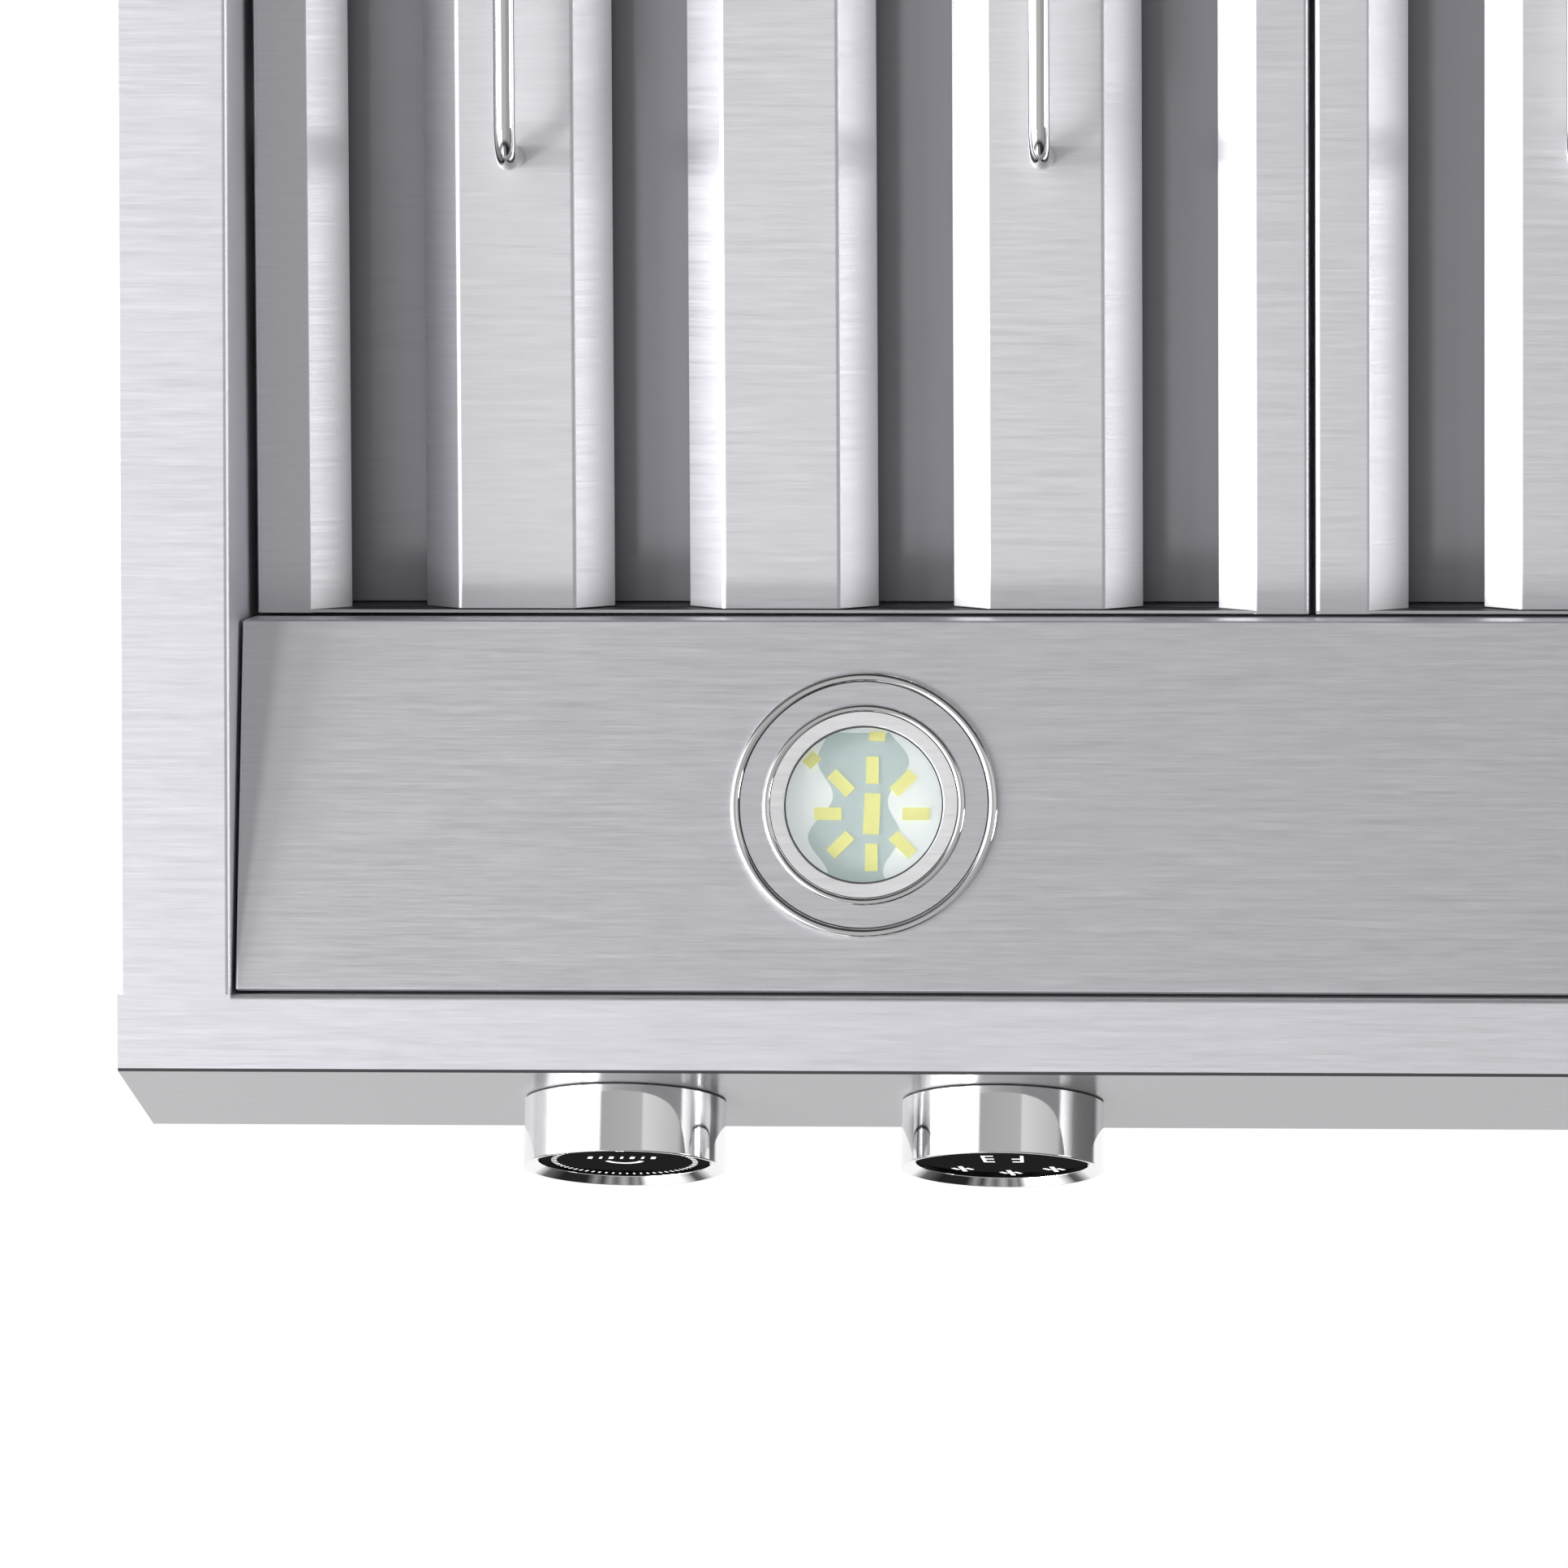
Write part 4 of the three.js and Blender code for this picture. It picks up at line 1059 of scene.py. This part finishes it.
def make_board_marks(name, place):
    """The board's darker pad, narrow in the middle, and its LED chips. The pad's wavy outline is painted
    reflection: it copies the pattern of the lens's reflections over the board.
    """
    bm = bmesh.new()
    add_flat(bm, pad_outline(20.0, 40), 4.94, 0.04)
    bm.transform(place)
    finish_piece(mesh_from(bm, "pad"), f"{name}_pad", "hood", BOARD_PAD)
    bm = bmesh.new()
    for i in range(8):
        turn = math.radians(45 * i)
        spoke = Vector((math.cos(turn), math.sin(turn)))
        add_chip(bm, spoke * 8.0, spoke * 15.2, 3.3)
    add_chip(bm, (0.2, -5.4), (-0.2, 5.4), 4.2)
    add_chip(bm, (-3.2, 20.5), (1.0, 20.7), 2.4)
    add_chip(bm, (14.6, 15.6), (17.4, 12.8), 3.0)
    bm.transform(place @ Matrix.Translation(Vector((-1.8, -1.6, 0)) * MM))
    finish_piece(mesh_from(bm, "chips"), f"{name}_chips", "hood", CHIP)


def pad_outline(reach, steps):
    """A wavy strip across the board, up one side and back down the other."""
    left, right = [], []
    for i in range(steps + 1):
        y = -reach + 2 * reach * i / steps
        half = 9.7 - 2.4 * math.cos(math.tau * (y - 2.5) / reach)
        lean = 1.8 - 1.2 * math.sin(math.pi * y / reach)
        right.append((lean + half, y))
        left.append((lean - half, y))
    return right + left[::-1]


def add_chip(bm, a, b, width):
    """A chip standing down from the board, from a to b."""
    add_stroke(bm, a, b, width, 4.35, 0.5)


# ---------------- carried-over CAD nodes

CARRIED = {
    "top_panel": SHELL, "rear_panel": SHELL,
    "motor_shaft": SHAFT, "damper_rod": SHAFT,
    "blower_motor": PAINT, "led_driver": PLASTIC, "run_capacitor": PLASTIC, "cable_gland": PLASTIC,
    "outer_knob_carriage": PLASTIC, "outer_knob_encoder": PLASTIC,
    "inner_knob_carriage": PLASTIC, "inner_knob_encoder": PLASTIC,
    "left_filter_magnet": FERRITE, "centre_filter_magnet": FERRITE, "right_filter_magnet": FERRITE,
}


def dress_cad():
    """Materials and softened edges for the CAD nodes that show as they are."""
    for name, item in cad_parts.items():
        material = CARRIED.get(name, ZINC)
        item.data.materials.clear()
        item.data.materials.append(material)
        if name in CARRIED or name.endswith(("housing", "wheel")):
            soften(item, 0.3 * MM)


# ---------------- stage

CAMERA_DISTANCE = 3.541
CAMERA_Y = -274 * MM
AIM = Vector((277.65 * MM, -462.8 * MM, RIM))
LENS_MM = 311.3
ROLL = -0.0018


def make_camera():
    """Straight below the hood's middle, on a long lens aimed at its front right corner."""
    data = bpy.data.cameras.new("camera")
    data.lens = LENS_MM
    data.sensor_width = 36
    data.clip_start = 0.1
    data.clip_end = 200
    camera = bpy.data.objects.new("camera", data)
    bpy.context.collection.objects.link(camera)
    camera.location = (0, CAMERA_Y, RIM - CAMERA_DISTANCE)
    look = (AIM - camera.location).normalized()
    right = look.cross(Vector((0, 1, 0))).normalized()
    up = right.cross(look)
    turn = Matrix((right, up, -look)).transposed() @ Matrix.Rotation(ROLL, 3, "Z")
    camera.rotation_euler = turn.to_euler()
    bpy.context.scene.camera = camera


def area_light(name, place, target, size, power):
    """A white card that shines on a target, unseen by the camera itself."""
    data = bpy.data.lights.new(name, "AREA")
    data.shape = "RECTANGLE"
    data.size, data.size_y = size
    data.energy = power
    item = bpy.data.objects.new(name, data)
    bpy.context.collection.objects.link(item)
    item.location = place
    item.rotation_euler = (Vector(target) - Vector(place)).to_track_quat("-Z", "Y").to_euler()
    item.visible_camera = False


# The room's brightness by degrees round from straight down towards +X: in front, and towards the wall
ROOM_FRONT = [(-180, 1.0), (-136, 1.0), (-130, 0.15), (-78, 0.15), (-72, 0.3), (-27, 0.35), (-22, 0.46),
              (22, 0.48), (27, 1.7), (90, 1.7), (96, 0.4), (118, 0.4), (124, 0.9), (180, 1.0)]
ROOM_REAR = [(-180, 1.0), (-142, 1.0), (-136, 0.08), (-100, 0.06), (-96, 0.25), (-77, 0.25), (-72, 0.5),
             (-28, 0.7), (-25, 0.46), (24, 0.4), (27, 1.2), (91, 1.3), (95, 0.12), (120, 0.12),
             (126, 0.8), (180, 1.0)]
# How much of it is left at each degree from the middle plane, towards -Y and +Y
ROOM_FADE = [(-90, 0.0), (-60, 0.0), (-48, 0.15), (-38, 1.0), (30, 1.0), (38, 0.12), (90, 0.1)]
# The room straight ahead of the hood, by degrees to the side, and where that begins
ROOM_AHEAD = [(-90, 0.02), (-12, 0.02), (-10, 0.3), (-7, 0.05), (-4, 0.4), (-2, 0.08), (2, 0.5), (4, 0.12),
              (7, 0.35), (9, 0.1), (11, 1.3), (90, 1.3)]
AHEAD_FADE = [(-90, 1.0), (-62, 1.0), (-52, 0.0), (90, 0.0)]
BRIGHTEST = 2.0


def make_world():
    """White to the camera. To the steel it is a studio of bright and dark panels round the hood."""
    world = bpy.data.worlds.new("studio")
    bpy.context.scene.world = world
    world.use_nodes = True
    tree = world.node_tree
    tree.nodes.clear()
    split = node(tree, "ShaderNodeSeparateXYZ")
    feed(tree, node(tree, "ShaderNodeTexCoord").outputs["Generated"], split.inputs[0])
    down = math_node(tree, "MULTIPLY", split.outputs["Z"], -1.0)
    across = turn_share(tree, math_node(tree, "ARCTAN2", split.outputs["X"], down))
    rearward = math_node(tree, "ARCSINE", split.outputs["Y"])
    along = turn_share(tree, rearward)
    behind = remap(tree, rearward, math.radians(4), math.radians(14), 0, 1)
    room = mix(tree, "FLOAT", behind, ramp(tree, across, ROOM_FRONT),
               ramp(tree, across, ROOM_REAR))
    studio = math_node(tree, "MULTIPLY", room, ramp(tree, along, ROOM_FADE))
    sideways = turn_share(tree, math_node(tree, "ARCSINE", split.outputs["X"]))
    ahead = math_node(tree, "MULTIPLY", ramp(tree, sideways, ROOM_AHEAD),
                      ramp(tree, along, AHEAD_FADE))
    studio = math_node(tree, "ADD", studio, ahead)
    direct = node(tree, "ShaderNodeLightPath").outputs["Is Camera Ray"]
    background = node(tree, "ShaderNodeBackground")
    background.inputs["Color"].default_value = (1, 1, 1, 1)
    feed(tree, mix(tree, "FLOAT", direct, studio, 1.0), background.inputs["Strength"])
    feed(tree, background.outputs[0], node(tree, "ShaderNodeOutputWorld").inputs[0])


def turn_share(tree, angle):
    """An angle from half a turn back to half a turn on, as 0 to 1."""
    return remap(tree, angle, -math.pi, math.pi, 0, 1)


def ramp(tree, value, stops):
    """A curve of brightness, no brighter than BRIGHTEST, through stops given in degrees."""
    made = node(tree, "ShaderNodeValToRGB")
    elements = made.color_ramp.elements
    while len(elements) < len(stops):
        elements.new(0.5)
    for element, (degrees, level) in zip(elements, stops):
        element.position = (degrees + 180) / 360
        element.color = (*[level / BRIGHTEST] * 3, 1)
    feed(tree, value, made.inputs[0])
    return math_node(tree, "MULTIPLY", made.outputs[0], BRIGHTEST)


def make_floor():
    """A pale floor far below, which shows in views from the side and above."""
    bm = bmesh.new()
    reach, level, depth = 60, -12, 0.1
    add_box(bm, (-reach, -reach, level - depth), (reach, reach, level))
    floor = bpy.data.objects.new("floor", mesh_from(bm, "floor"))
    bpy.context.collection.objects.link(floor)
    material = moulded("floor_paint", (0.9, 0.9, 0.9), 0.7, grain=20.0)
    floor.data.materials.append(material)
    floor.visible_glossy = False
    floor.visible_diffuse = False
    floor.visible_shadow = False


# ---------------- scene

make_camera()
dress_cad()
make_fascia()
for side_name, sign in (("left", -1), ("right", 1)):
    make_side(sign, side_name)
make_light_panel()
make_upper_front()
make_ledge()
make_screws()
for side_name, filter_x in FILTER_X.items():
    make_filter(side_name, filter_x)
for knob_name, knob_x in KNOB_X.items():
    make_knob(knob_name, knob_x)
make_outer_marks(knob_place(KNOB_X["outer_knob"]))
make_inner_marks(knob_place(KNOB_X["inner_knob"]))
for side_name, light_x in LIGHT_X.items():
    make_light(side_name, light_x)
make_world()
make_floor()
area_light("right_card", (3.1, -0.4, RIM - 1.45), (0.2, -0.3, RIM), (0.6, 1.6), 122)
area_light("left_card", (-3.0, -0.4, RIM - 0.6), (0.1, -0.3, RIM), (0.7, 1.0), 14.5)
area_light("lamp", (2.6, -1.9, RIM - 3.6), (0.25, -0.3, RIM), (0.7, 0.7), 38)

scene = bpy.context.scene
scene.view_settings.view_transform = "Standard"
scene.view_settings.look = "None"
scene.cycles.use_denoising = True
scene.cycles.max_bounces = 12
scene.cycles.glossy_bounces = 8
